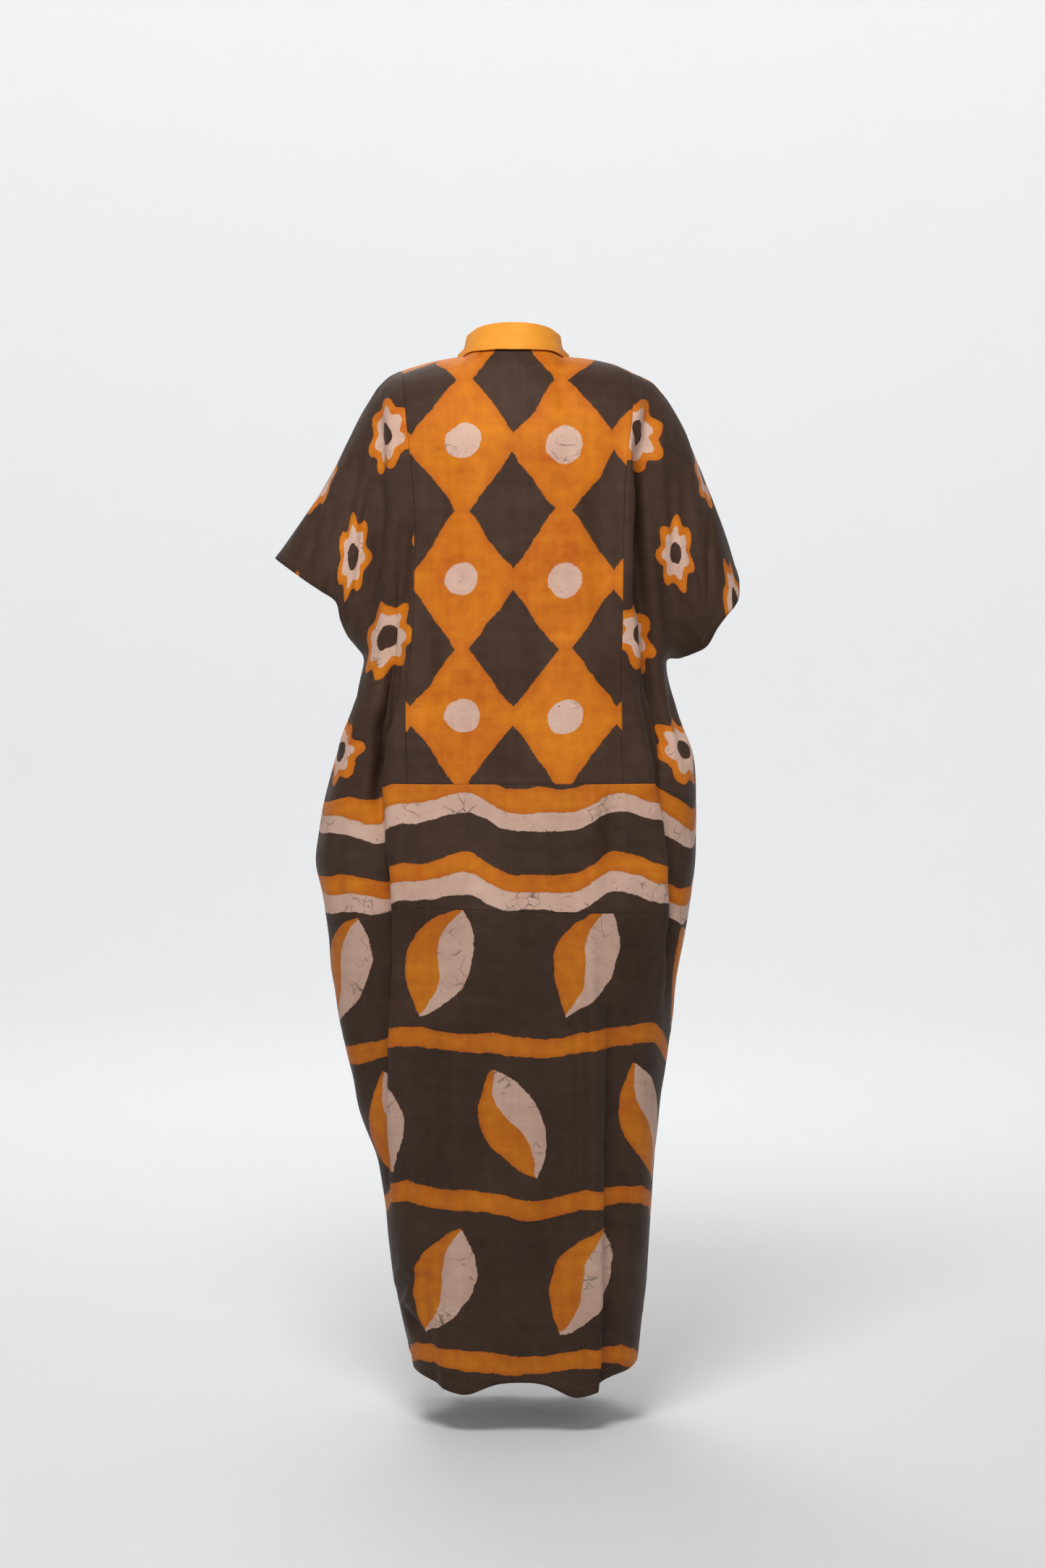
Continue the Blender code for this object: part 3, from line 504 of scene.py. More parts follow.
def upper_places(side, layer, bottom):
    """The plain points from the shoulder seam and neck down to the underarm row, which is bottom."""
    shoulder, cuff = SHOULDER[side], CUFF[side]
    seam_line, fold_line = PANEL_SEAM[layer, side], FOLD_LINE[layer, side]
    seam_top, fold_top = seam_line["across"][0], fold_line["across"][0]
    reach = FOLD_REACH["reach"][0]
    tip = shoulder["across"][-1]
    neck = NECK_WIDTH / 2
    top_across = fill(np.array([0, neck, seam_top, fold_top - reach, fold_top + reach, tip]))
    top_across[:NECK_COLUMN] = neck * np.sin(np.arange(NECK_COLUMN) / NECK_COLUMN * np.pi / 2)
    on_neck = top_across < neck
    neck_depth, neck_drop = neck_edge(layer, top_across)
    top_drop = np.where(on_neck, neck_drop, through(shoulder["across"], shoulder["drop"], top_across))
    top_depth = np.where(on_neck, neck_depth, 0)
    low_across, low_depth, low_drop = bottom[:, 0] * side, bottom[:, 1], -bottom[:, 2]
    past_shoulder = ease((top_across - fold_top) / (tip - fold_top))
    out = np.clip((top_across - fold_top) / (tip - fold_top), 0, 1) ** 2
    places = []
    for share in UPPER_ROWS:
        drop = top_drop * (1 - share) + low_drop * share
        across = top_across * (1 - share) + low_across * share
        edge_move = through(cuff["share"], cuff["across"], share) - across[-1]
        edge_fall = through(cuff["share"], cuff["drop"], share) - drop[-1]
        # The seam and fold columns follow their own lines, and their neighbours follow them.
        seam_at = through(*seam_line.values(), drop[SEAM_COLUMN])
        fold_at = through(*fold_line.values(), drop[(FOLD_START + FOLD_END) // 2])
        knots = [0, SEAM_COLUMN, FOLD_START, FOLD_END, ALL_COLUMNS]
        fold_move = fold_at - (across[FOLD_START] + across[FOLD_END]) / 2
        moves = [0, seam_at - across[SEAM_COLUMN], fold_move, fold_move, 0]
        across = across + np.interp(np.arange(ALL_COLUMNS + 1), knots, moves)
        across = across + edge_move * out
        drop = drop + edge_fall * out
        length = np.hypot(low_drop - top_drop, low_across - top_across)
        round_over = np.interp(top_across, *ROUND_OVER)
        over = rounded(share * length / round_over)
        depth = top_depth + (low_depth - top_depth) * over
        after_fullest = (share - SLEEVE_FULLEST) / (1 - SLEEVE_FULLEST)
        swell = rounded(share / SLEEVE_FULLEST) * (1 - ease(after_fullest))
        depth = depth * (1 - past_shoulder * (1 - share))
        depth = depth + layer * SLEEVE_BULGE * past_shoulder * swell
        places.append(np.stack([across * side, depth, -drop], axis=-1))
    return np.array(places)


def soften(upper):
    """Evens out the depths from column to column round the neck, but not along the seams."""
    depth = upper[..., 1]
    for _ in range(SOFTENING):
        beside = np.concatenate([depth[:, 1:2], depth[:, :FOLD_START]], axis=1)
        after = depth[:, 1 : FOLD_START + 2]
        depth[1:-1, : FOLD_START + 1] += (beside + after - 2 * depth[:, : FOLD_START + 1])[1:-1] / 4
    return upper


def folded(side, layer, grid):
    """The half layer with its largest folds."""
    outward, down = unit(np.gradient(grid, axis=1)), unit(np.gradient(grid, axis=0))
    normal = unit(np.cross(outward, down)) * side * layer
    across, drop = np.abs(grid[..., 0]), -grid[..., 2]
    outline = np.concatenate([across[:UNDERARM_ROW, -1:] + 1, across[UNDERARM_ROW:, -1:]])
    clear = ease((outline - across) / SILHOUETTE_MARGIN)
    moved = grid.copy()
    for fold in FOLDS[layer, side].values():
        at, width, depth, lap, run = (
            through(fold["drop"], fold[name], drop) for name in FOLD_COLUMNS.split()[1:]
        )
        past = (across - at) / width
        back_out = np.exp(-((np.maximum(across - at, 0) / run) ** 2))
        inwards = depth * ease((past + 1) / 2) * back_out * clear
        slide = lap / 2 * past * np.exp((1 - past**2) / 2) * clear
        moved -= normal * inwards[..., None] + outward * slide[..., None]
    return moved


def evened(grid):
    """The half layer with the fold's many columns made few, evenly spaced along the cloth."""
    rows = []
    for row in grid[:, FOLD_START : FOLD_END + 1]:
        along = distances(row)
        at = np.linspace(0, along[-1], FOLD_STEPS + 1)
        rows.append(np.stack([np.interp(at, along, row[:, k]) for k in range(3)], axis=-1))
    grid = np.concatenate([grid[:, :FOLD_START], rows, grid[:, FOLD_END + 1 :]], axis=1)
    beside = (grid[:, :-2] + grid[:, 2:]) / 2
    grid[1:, 1:-1] += (beside - grid[:, 1:-1])[1:] * EASING
    return grid


def half_layer(side, layer):
    """The middle surface of one half of the back or front, from the middle out to the side."""
    lower = lower_places(side, layer)
    upper = upper_places(side, layer, lower[0])
    return evened(folded(side, layer, np.concatenate([soften(upper)[:-1], lower])))


def whole_layer(layer):
    """Both halves side by side: the first column is the left side, the last the right side."""
    left, right = half_layer(1, layer), half_layer(-1, layer)
    return np.concatenate([left[:, ::-1], right[:, 1:]], axis=1)


def vertex_normals(grid, layer):
    """Outward normals at a grid's points, averaged over the faces round each."""
    one = grid[1:, 1:] - grid[:-1, :-1]
    other = grid[:-1, 1:] - grid[1:, :-1]
    face = unit(np.cross(one, other)) * layer
    normal = np.zeros_like(grid)
    for di in (0, 1):
        for dj in (0, 1):
            rows = slice(di, di + face.shape[0])
            normal[rows, dj : dj + face.shape[1]] += face
    return normal


def seam_points(shape, neck, underarm):
    """Which points of the two layers are sewn to each other: the shoulders, and below the underarms."""
    shared = np.zeros(shape, bool)
    shared[0] = True
    shared[0, neck] = False
    shared[underarm:, 0] = shared[underarm:, -1] = True
    return shared


def robe_layers():
    """The middle surfaces of both layers, which meet along the seams that they share."""
    grids = {layer: whole_layer(layer) for layer in (BACK, FRONT)}
    neck = slice(COLUMNS - NECK_COLUMN + 1, COLUMNS + NECK_COLUMN)
    shared = seam_points(grids[BACK].shape[:2], neck, UNDERARM_ROW)
    place = (grids[BACK] + grids[FRONT]) / 2
    for layer in grids:
        grids[layer][shared] = place[shared]
    return grids


# Back and front layers in full detail
# Between the rows and columns above, the cloth runs in smooth curves. It then gets what the photograph
# shows of handling: soft troughs and ridges, pressed lines, and seams that draw the cloth in.
SPACING = 0.0042
SEAM_SIDE = 0.0018  # an extra row of points this near each side of a seam
SHEET_LIFT = 0.0004  # how far the thin cloth lies outside the middle of its solid
OUTER_FIRST = 0.05  # where the cloth laps over itself, how much more its depth counts than its place

# Soft creases, as seen from outside: where each starts and ends along X and how far down, how deep it
# is (a ridge is less than nothing), how wide, and how far its middle bows to the left.
CREASE_COLUMNS = "x drop x_end drop_end depth width bow"
CREASES = {
    BACK: columns(
        CREASE_COLUMNS,
        (0.134, 0.180, 0.154, 0.480, 0.0100, 0.011, 0.003),
        (0.154, 0.380, 0.174, 0.620, 0.0130, 0.012, 0.002),
        (-0.166, 0.400, -0.192, 0.620, 0.0120, 0.011, 0.002),
        (-0.166, 0.090, -0.178, 0.430, 0.0110, 0.012, 0.003),
        (-0.098, 0.700, -0.103, 1.290, -0.0080, 0.010, -0.004),
        (-0.052, 0.940, -0.060, 1.330, 0.0035, 0.020, 0.004),
        (0.106, 0.830, 0.098, 1.310, 0.0054, 0.020, 0.008),
        (0.078, 0.900, 0.070, 1.340, -0.0048, 0.018, -0.004),
        (0.010, 0.770, 0.020, 1.160, 0.0045, 0.024, 0.006),
        (-0.020, 1.020, -0.008, 1.340, -0.0042, 0.020, 0.003),
        (-0.127, 0.556, -0.131, 0.735, 0.0050, 0.012, 0.002),
        (-0.098, 0.575, -0.104, 0.760, -0.0026, 0.014, 0.002),
        (-0.063, 0.560, -0.078, 0.720, 0.0028, 0.016, 0.003),
        (0.116, 0.560, 0.139, 0.720, 0.0034, 0.012, -0.004),
        (0.052, 0.600, 0.060, 0.820, 0.0022, 0.018, 0.004),
        (0.100, 1.215, 0.165, 1.265, 0.0048, 0.010, 0.003),
        (0.120, 1.304, 0.150, 1.262, 0.0051, 0.008, 0.002),
        (-0.150, 1.180, -0.118, 1.300, 0.0028, 0.010, -0.004),
        (-0.037, 0.100, -0.030, 0.200, 0.0018, 0.007, 0.001),
        (-0.022, 0.098, -0.018, 0.155, 0.0014, 0.005, 0.001),
        (0.048, 0.022, 0.018, 0.068, 0.0022, 0.010, 0.002),
        (-0.050, 0.024, -0.072, 0.080, 0.0022, 0.010, -0.002),
        (0.096, 0.090, 0.070, 0.340, 0.0034, 0.015, 0.006),
        (0.106, 0.340, 0.121, 0.530, 0.0034, 0.013, -0.003),
        (0.030, 0.230, 0.022, 0.470, 0.0020, 0.020, 0.005),
        (-0.106, 0.130, -0.112, 0.400, 0.0036, 0.014, -0.005),
        (-0.068, 0.390, -0.087, 0.548, 0.0024, 0.013, 0.003),
        (-0.030, 0.320, -0.044, 0.545, 0.0018, 0.016, -0.003),
        (0.203, 0.105, 0.236, 0.300, 0.0044, 0.014, -0.008),
        (0.184, 0.150, 0.214, 0.360, 0.0032, 0.010, 0.005),
        (0.251, 0.195, 0.270, 0.285, 0.0030, 0.010, -0.003),
        (0.222, 0.130, 0.262, 0.250, -0.0026, 0.012, -0.004),
        (-0.196, 0.070, -0.206, 0.300, -0.0060, 0.013, 0.004),
        (-0.222, 0.100, -0.244, 0.350, 0.0040, 0.014, 0.008),
        (-0.261, 0.190, -0.254, 0.356, 0.0028, 0.010, -0.003),
        (-0.164, 0.016, -0.205, 0.066, 0.0022, 0.010, 0.002),
        (0.150, 0.022, 0.186, 0.066, 0.0022, 0.010, -0.002),
        (0.206, 0.395, 0.224, 0.548, 0.0042, 0.011, -0.003),
        (0.227, 0.600, 0.230, 0.742, 0.0030, 0.010, 0.002),
        (-0.217, 0.420, -0.228, 0.568, 0.0042, 0.011, 0.003),
        (-0.222, 0.640, -0.206, 0.800, 0.0030, 0.010, -0.002),
        (0.214, 0.800, 0.186, 1.000, 0.0036, 0.012, 0.004),
    ),
    FRONT: columns(
        CREASE_COLUMNS,
        (-0.120, 0.760, -0.100, 1.300, 0.0046, 0.014, 0.006),
        (-0.020, 0.700, -0.014, 1.240, -0.0034, 0.018, -0.005),
        (0.018, 0.760, 0.024, 1.330, 0.0036, 0.016, 0.006),
        (0.118, 0.780, 0.090, 1.280, 0.0040, 0.014, -0.005),
        (0.020, 0.130, 0.052, 0.330, 0.0036, 0.013, 0.004),
        (-0.016, 0.180, -0.050, 0.420, 0.0032, 0.014, -0.005),
        (0.064, 0.060, 0.104, 0.240, 0.0034, 0.014, -0.005),
        (-0.070, 0.060, -0.112, 0.280, 0.0030, 0.013, 0.004),
        (0.110, 0.300, 0.118, 0.545, 0.0034, 0.013, 0.004),
        (-0.118, 0.330, -0.122, 0.550, 0.0036, 0.012, -0.003),
        (0.030, 0.400, 0.024, 0.555, 0.0022, 0.016, 0.002),
        (-0.026, 0.590, -0.034, 0.725, 0.0026, 0.014, -0.002),
        (0.046, 0.580, 0.040, 0.730, 0.0030, 0.013, 0.002),
        (-0.104, 0.590, -0.110, 0.740, 0.0036, 0.012, 0.003),
        (0.112, 0.600, 0.104, 0.730, 0.0032, 0.012, -0.003),
        (0.206, 0.110, 0.240, 0.300, 0.0042, 0.013, 0.006),
        (0.244, 0.190, 0.262, 0.300, 0.0028, 0.010, -0.003),
        (-0.204, 0.090, -0.232, 0.330, 0.0040, 0.013, -0.006),
        (-0.250, 0.180, -0.262, 0.340, 0.0028, 0.010, 0.003),
        (0.210, 0.420, 0.228, 0.550, 0.0038, 0.011, -0.003),
        (-0.212, 0.430, -0.226, 0.570, 0.0038, 0.011, 0.003),
        (0.222, 0.780, 0.194, 1.010, 0.0034, 0.012, 0.004),
        (-0.206, 0.760, -0.186, 0.990, 0.0034, 0.012, -0.004),
        (0.070, 1.260, 0.128, 1.300, 0.0030, 0.010, 0.003),
    ),
}
# Folds in which the cloth steps back to the right of a line and comes out again over "run": where the
# line starts and ends, how far the cloth steps back, and over what width.
STEP_COLUMNS = "x drop x_end drop_end step width run"
STEP_FOLDS = {
    BACK: columns(
        STEP_COLUMNS,
        (-0.124, 0.800, -0.131, 1.400, 0.0150, 0.0040, 0.040),
        (0.150, 0.960, 0.112, 1.400, -0.0060, 0.0080, 0.030),
        (-0.156, 0.080, -0.158, 0.360, 0.0120, 0.0050, 0.018),
        (-0.162, 0.330, -0.194, 0.570, 0.0150, 0.0055, 0.020),
        (0.150, 0.300, 0.172, 0.600, -0.0130, 0.0070, 0.024),
    ),
    FRONT: columns(
        STEP_COLUMNS,
        (0.020, 0.840, 0.012, 1.400, 0.0120, 0.0050, 0.045),
        (-0.068, 0.900, -0.050, 1.400, -0.0110, 0.0050, 0.040),
        (0.150, 0.080, 0.150, 0.340, -0.0080, 0.0060, 0.020),
        (-0.150, 0.100, -0.156, 0.400, 0.0090, 0.0060, 0.020),
    ),
}
STEP_START = 0.3  # the share of its length over which a stepped fold begins, and ends above a seam
STEP_RIDGE = 0.3  # how far the cloth stands out beside the step, as a share of it
CREASE_END = 0.3  # the share of its length over which a crease fades at each end
CREASE_BANK, BANK_PLACE = 0.42, 1.9  # how high the cloth rises beside a trough, and widths away from it
RIDGE_PLACE, RIDGE_WIDTH = 1.5, 2.0  # how far before a step its ridge is, and how wide, in its widths

# Lines that were pressed into the folded cloth, right across it: how far down on the left and on the
# right, how high they stand, and how wide they are.
PRESSED_LINES = columns(
    "drop_left drop_right height width",
    (1.262, 1.274, 0.0007, 0.0035),
    (0.905, 0.899, 0.0004, 0.0035),
    (0.356, 0.349, 0.0004, 0.0035),
)
# Broad unevenness, as waves along the cloth: height, waves per metre across and down, and start.
SWELLS = columns(
    "height across down start",
    (0.0011, 3.1, 1.7, 0.4),
    (0.0009, 5.3, -2.3, 2.1),
    (0.0007, 8.9, 1.1, 4.0),
    (0.0006, 2.3, 6.1, 5.2),
    (0.0004, 13.7, -4.9, 1.3),
    (0.0003, -6.7, 14.3, 3.3),
)
SWELL_EDGE = 0.02  # creases and swells fade out this near the side and shoulder seams
SEAM_DIP, SEAM_DIP_WIDTH = 0.0003, 0.0036
PUCKER_HEIGHT, PUCKER_LENGTH, PUCKER_WIDTH = 0.0004, 0.013, 0.010
PUCKER_TURN = 17  # how fast the pucker comes and goes along a seam, in radians per metre
HEM_TURN, CUFF_TURN = 0.014, 0.012  # how much cloth is folded under along the hem and cuffs
TURN_RISE, TURN_EDGE = 0.0007, 0.003  # how far that makes the cloth stand out, and over what width


def curve(points, knots, at):
    """Places along a smooth curve through the points, which are the first axis."""
    lean = np.gradient(points, knots, axis=0)
    i = np.clip(np.searchsorted(knots, at, side="right") - 1, 0, len(knots) - 2)
    spread = (slice(None),) + (None,) * (points.ndim - 1)
    step = (knots[i + 1] - knots[i])[spread]
    s = (at - knots[i])[spread] / step
    start = (1 + 2 * s) * (1 - s) ** 2 * points[i] + s * (1 - s) ** 2 * step * lean[i]
    return start + s * s * (3 - 2 * s) * points[i + 1] + s * s * (s - 1) * step * lean[i + 1]


def lengths(grid, axis):
    """How far each point is along the cloth from the grid's first edge."""
    steps = np.linalg.norm(np.diff(grid, axis=axis), axis=-1)
    return np.insert(np.cumsum(steps, axis=axis), 0, 0, axis=axis)


def close_knots(knots, sewn):
    """Evenly close places that keep every knot, with one more to each side of the sewn ones."""
    places = []
    for start, end in zip(knots, knots[1:]):
        places += list(np.linspace(start, end, max(1, round((end - start) / SPACING)), endpoint=False))
    for knot in sewn:
        places += [knot - SEAM_SIDE, knot + SEAM_SIDE]
    return np.unique(np.round(places + [knots[-1]], 6))


coarse = robe_layers()
column_knots = np.mean([lengths(coarse[layer], 1).mean(axis=0) for layer in coarse], axis=0)
row_knots = np.mean([lengths(coarse[layer], 0).mean(axis=1) for layer in coarse], axis=0)
LEFT_SEAM, RIGHT_SEAM = COLUMNS - SEAM_COLUMN, COLUMNS + SEAM_COLUMN
fine_columns = close_knots(column_knots, column_knots[[LEFT_SEAM, RIGHT_SEAM]])
fine_rows = close_knots(row_knots, row_knots[[WAIST_ROW, HIP_ROW]])
column_at = np.searchsorted(fine_columns, np.round(column_knots, 6))
row_at = np.searchsorted(fine_rows, np.round(row_knots, 6))


def finer(grid):
    """The grid with many more rows and columns, on smooth curves through the few."""
    rows = curve(grid, row_knots, fine_rows)
    return np.moveaxis(curve(np.moveaxis(rows, 1, 0), column_knots, fine_columns), 0, 1)


def fine_layers():
    """Both layers as fine grids that still meet at the shoulders and sides."""
    grids = {layer: finer(coarse[layer]) for layer in coarse}
    neck = slice(column_at[COLUMNS - NECK_COLUMN] + 1, column_at[COLUMNS + NECK_COLUMN])
    shared = seam_points(grids[BACK].shape[:2], neck, row_at[UNDERARM_ROW])
    middle = (grids[BACK] + grids[FRONT]) / 2
    normals = {layer: unit(vertex_normals(grids[layer], layer)) for layer in grids}
    both = unit(normals[BACK] + normals[FRONT])
    for layer in grids:
        grids[layer][shared] = middle[shared]
        normals[layer][shared] = both[shared]
    return grids, normals


def cut_places(grid):
    """Each point's place on the cut cloth: metres across from the middle, and up from the waist seam."""
    across, down = lengths(grid, 1), lengths(grid, 0)
    return np.stack([across - across[:, column_at[COLUMNS]][:, None], down[row_at[WAIST_ROW]] - down], -1)


def seen_at(grid, cut, x, drop):
    """The place on the cut cloth that shows at X and a drop: the nearest point, the outer of two."""
    away = np.hypot(grid[..., 0] - x, grid[..., 2] + drop) - OUTER_FIRST * np.abs(grid[..., 1])
    return cut.reshape(-1, 2)[np.argmin(away)]


def beside_line(cut, start, end):
    """How far each point is along a line, as a share of it, and to the left of it, in metres."""
    along = end - start
    length = np.hypot(*along)
    share = (cut - start) @ along / length**2
    return share, ((cut[..., 0] - start[0]) * along[1] - (cut[..., 1] - start[1]) * along[0]) / length


def crease_depth(grid, cut, layer):
    """How far the creases, pressed lines and swells move each point inwards."""
    depth = np.zeros(cut.shape[:2])
    for x, drop, x_end, drop_end, deep, width, bow in zip(*CREASES[layer].values()):
        share, aside = beside_line(cut, seen_at(grid, cut, x, drop), seen_at(grid, cut, x_end, drop_end))
        aside = (aside - bow * 4 * share * (1 - share)) / width
        fade = ease(share / CREASE_END) * ease((1 - share) / CREASE_END)
        banks = np.exp(-((aside - BANK_PLACE) ** 2)) + np.exp(-((aside + BANK_PLACE) ** 2))
        depth += deep * fade * (np.exp(-(aside**2)) - CREASE_BANK * banks)
    for x, drop, x_end, drop_end, step, width, run in zip(*STEP_FOLDS[layer].values()):
        share, aside = beside_line(cut, seen_at(grid, cut, x, drop), seen_at(grid, cut, x_end, drop_end))
        aside = aside * np.sign(-step)
        to_hem = drop_end > HEM
        fade = ease(share / STEP_START) * (1 if to_hem else ease((1 - share) / STEP_START))
        back_out = np.exp(-((np.maximum(aside, 0) / run) ** 2))
        ridge = STEP_RIDGE * np.exp(-(((aside / width + RIDGE_PLACE) / RIDGE_WIDTH) ** 2))
        depth += abs(step) * fade * (ease((aside / width + 1) / 2) * back_out - ridge)
    for left, right, height, width in zip(*PRESSED_LINES.values()):
        share = (cut[..., 0] - cut[:, :1, 0]) / (cut[:, -1:, 0] - cut[:, :1, 0])
        line = left + (right - left) * share
        depth -= height * np.exp(-(((grid[..., 2] + line) / width) ** 2))
    for height, across, down, start in zip(*SWELLS.values()):
        turns = across * cut[..., 0] + down * cut[..., 1]
        depth += height * np.sin(2 * np.pi * turns + start + layer)
    return depth


def seam_depth(cut):
    """How far the seams draw each point in, with a fine pucker along them."""
    depth = np.zeros(cut.shape[:2])
    top = slice(0, row_at[WAIST_ROW] + 1)
    for column in (LEFT_SEAM, RIGHT_SEAM):
        away = np.abs(cut[top, :, 0] - cut[top, column_at[column], 0][:, None])
        depth[top] += drawn_in(away, cut[top, :, 1])
    for row in (WAIST_ROW, HIP_ROW):
        away = np.abs(cut[..., 1] - cut[row_at[row], :, 1])
        depth += drawn_in(away, cut[..., 0])
    return depth


def drawn_in(away, along):
    """How far one seam draws the cloth in, and its pucker, which comes and goes along it."""
    wave = np.sin(2 * np.pi * along / PUCKER_LENGTH) * np.sin(PUCKER_TURN * along + 1) ** 2
    pucker = PUCKER_HEIGHT * wave * np.exp(-((away / PUCKER_WIDTH) ** 2))
    return SEAM_DIP * np.exp(-((away / SEAM_DIP_WIDTH) ** 2)) + pucker


def turned_under(down, from_side):
    """How far the doubled cloth along the hem and cuffs stands out at each point."""
    hem = ease((HEM_TURN - (down[-1:] - down)) / TURN_EDGE)
    cuff = ease((CUFF_TURN - from_side) / TURN_EDGE)
    cuff[row_at[UNDERARM_ROW] :] = 0
    return np.maximum(hem, cuff) * TURN_RISE


def hung_layers():
    """The fine layers with their creases, seams and turnings, and each point's place on the cut."""
    grids, normals = fine_layers()
    cuts = {layer: cut_places(grids[layer]) for layer in grids}
    for layer, grid in grids.items():
        cut = cuts[layer]
        from_side = np.minimum(cut[..., 0] - cut[:, :1, 0], cut[:, -1:, 0] - cut[..., 0])
        down = lengths(grid, 0)
        clear = ease(from_side / SWELL_EDGE) * ease(down / SWELL_EDGE)
        depth = crease_depth(grid, cut, layer) * clear + seam_depth(cut) - turned_under(down, from_side)
        grids[layer] = grid + normals[layer] * (SHEET_LIFT - depth)[..., None]
    return grids, cuts


hung, cuts = hung_layers()


# Back centre panel
# One straight length of cotton from the neck to the waist seam, waxed and dyed orange and brown.
# It is sewn to the wings along both long edges, and to the front at the shoulders.
CLOTH_THICKNESS = 0.0007
SEWN_GAP = 0.00005
FRONT_CUT_SHIFT = 0.37  # the front is cut from another stretch of the same cloth

BROWN, PALE_BROWN = (0.038, 0.0170, 0.0085), (0.076, 0.040, 0.024)
ORANGE, DEEP_ORANGE = (0.78, 0.245, 0.007), (0.52, 0.110, 0.003)
PINK, DEEP_PINK = (0.77, 0.52, 0.41), (0.62, 0.38, 0.29)
CRACK_COLOUR = (0.045, 0.026, 0.020)
CRACKS_IN_ORANGE, CRACKS_IN_PALE = 0.16, 0.60
RIM, RIM_DEPTH = 0.004, 0.45  # orange is this much deeper within this distance of the brown
LOWER_PAINTED_SHADE = 0.76  # painted shade: the lower panels are painted this much darker, for the light that falls off towards the hem
PRINT_EDGE = 0.0006  # half the width over which one dye meets the next
DIAMOND_WIDTH, DIAMOND_HEIGHT = 0.134, 0.178
DIAMOND_SHRINK = 0.07
DOT_RADIUS = 0.0235
CENTRE_CUT, CENTRE_AREA = (0.33, 0.64), 0.185  # the flat piece that shows, and its cloth's area

# Unsteady drawing, and the cracks in the wax: the scale of the noise, its reach or width, and its layer.
HAND_WANDERS = ((11, 0.022, 1), (65, 0.0050, 2), (300, 0.0024, 3))
CRACK_SIZES = ((34, 0.014, 20), (75, 0.020, 30))
CRACK_BEND, CRACK_BEND_REACH = 40, 0.016
CRACK_PATCH, PATCH_LEVEL, PATCH_EDGE = 22, 0.10, 0.05
SPECKS, SPECK_LEVEL, SPECK_EDGE = 260, 0.235, 0.02
# How uneven the dye is: broad clouds, fine clouds, and streaks along the threads.
BROAD_CLOUDS, BROAD_DEPTH, FINE_CLOUDS = 9, 1.5, 55
STREAK_SCALE, STREAK_CLOSE, STREAK_LONG, STREAK_DEPTH = 3, 30, 1.5, 0.5

THREADS_PER_METRE = 1900
WEAVE_DEPTH, WRINKLE_DEPTH = 0.00004, 0.0016
SLUB_SCALE, SLUB_CLOSE, SLUB_LONG = 20, 40, 3
WRINKLE_SCALE, FINE_WRINKLE_SCALE, FINE_WRINKLE_SHARE = 16, 48, 0.35
SURFACE_STRENGTH = 0.8
COTTON_ROUGHNESS, SLUB_ROUGHNESS, COTTON_GLOSS = 0.62, 0.15, 0.22
COTTON_SHEEN, SHEEN_ROUGHNESS = 0.03, 0.4


class Dye:
    """A number that varies over the cloth, worked out by Math nodes."""

    def __init__(self, socket):
        self.socket = socket

    def maths(self, operation, *others, clamp=False):
        """The result of one Math node on this and the others."""
        nodes = self.socket.id_data.nodes
        node = nodes.new("ShaderNodeMath")
        node.operation, node.use_clamp = operation, clamp
        for entry, value in zip(node.inputs, (self, *others)):
            join(entry, value)
        return Dye(node.outputs[0])

    def __add__(self, other):
        return self.maths("ADD", other)

    def __sub__(self, other):
        return self.maths("SUBTRACT", other)

    def __mul__(self, other):
        return self.maths("MULTIPLY", other)

    def __neg__(self):
        return self * -1

    def inside(self, edge=PRINT_EDGE):
        """1 where this is more than nothing, 0 where it is less, with a narrow soft edge."""
        nodes = self.socket.id_data.nodes
        node = nodes.new("ShaderNodeMapRange")
        node.interpolation_type = "SMOOTHSTEP"
        for name, value in (("Value", self), ("From Min", -edge), ("From Max", edge)):
            join(node.inputs[name], value)
        return Dye(node.outputs["Result"])


def join(entry, value):
    """Gives a socket a number, or another node's output."""
    if isinstance(value, Dye):
        entry.id_data.links.new(value.socket, entry)
    else:
        entry.default_value = value


def place_on_cut(tree):
    """Metres across and up the cut cloth, from its own UV map."""
    uv = tree.nodes.new("ShaderNodeUVMap")
    uv.uv_map = "cut"
    parts = tree.nodes.new("ShaderNodeSeparateXYZ")
    tree.links.new(uv.outputs[0], parts.inputs[0])
    return Dye(parts.outputs[0]), Dye(parts.outputs[1])


def cut_point(across, up, layer):
    """A place on the cut as a vector for a texture, with the layer as its third number."""
    point = across.socket.id_data.nodes.new("ShaderNodeCombineXYZ")
    for entry, value in zip(point.inputs, (across, up, layer)):
        join(entry, value)
    return point.outputs[0]


def noise(across, up, scale, detail, layer):
    """Smooth noise over the cut, about -0.5 to 0.5. Features are 1 / scale wide, and each layer differs."""
    tree = across.socket.id_data
    point = cut_point(across, up, layer)
    node = tree.nodes.new("ShaderNodeTexNoise")
    node.inputs["Scale"].default_value = scale
    node.inputs["Detail"].default_value = detail
    tree.links.new(point, node.inputs["Vector"])
    return Dye(node.outputs["Fac"]) - 0.5


def hand_drawn(across, up):
    """The place moved by an unsteady hand: slow wanderings, and a rough edge where wax ran."""
    for scale, reach, layer in HAND_WANDERS:
        shift = noise(across, up, scale, 2, layer) * reach
        lift = noise(across, up, scale, 2, layer + 10) * reach
        across, up = across + shift, up + lift
    return across, up


def mixed(factor, first, second):
    """A colour between two, each a colour or another node's output."""
    tree = factor.socket.id_data
    node = tree.nodes.new("ShaderNodeMix")
    node.data_type = "RGBA"
    join(node.inputs["Factor"], factor)
    for entry, value in ((node.inputs[6], first), (node.inputs[7], second)):
        join(entry, value if isinstance(value, Dye) else (*value, 1))
    return Dye(node.outputs[2])


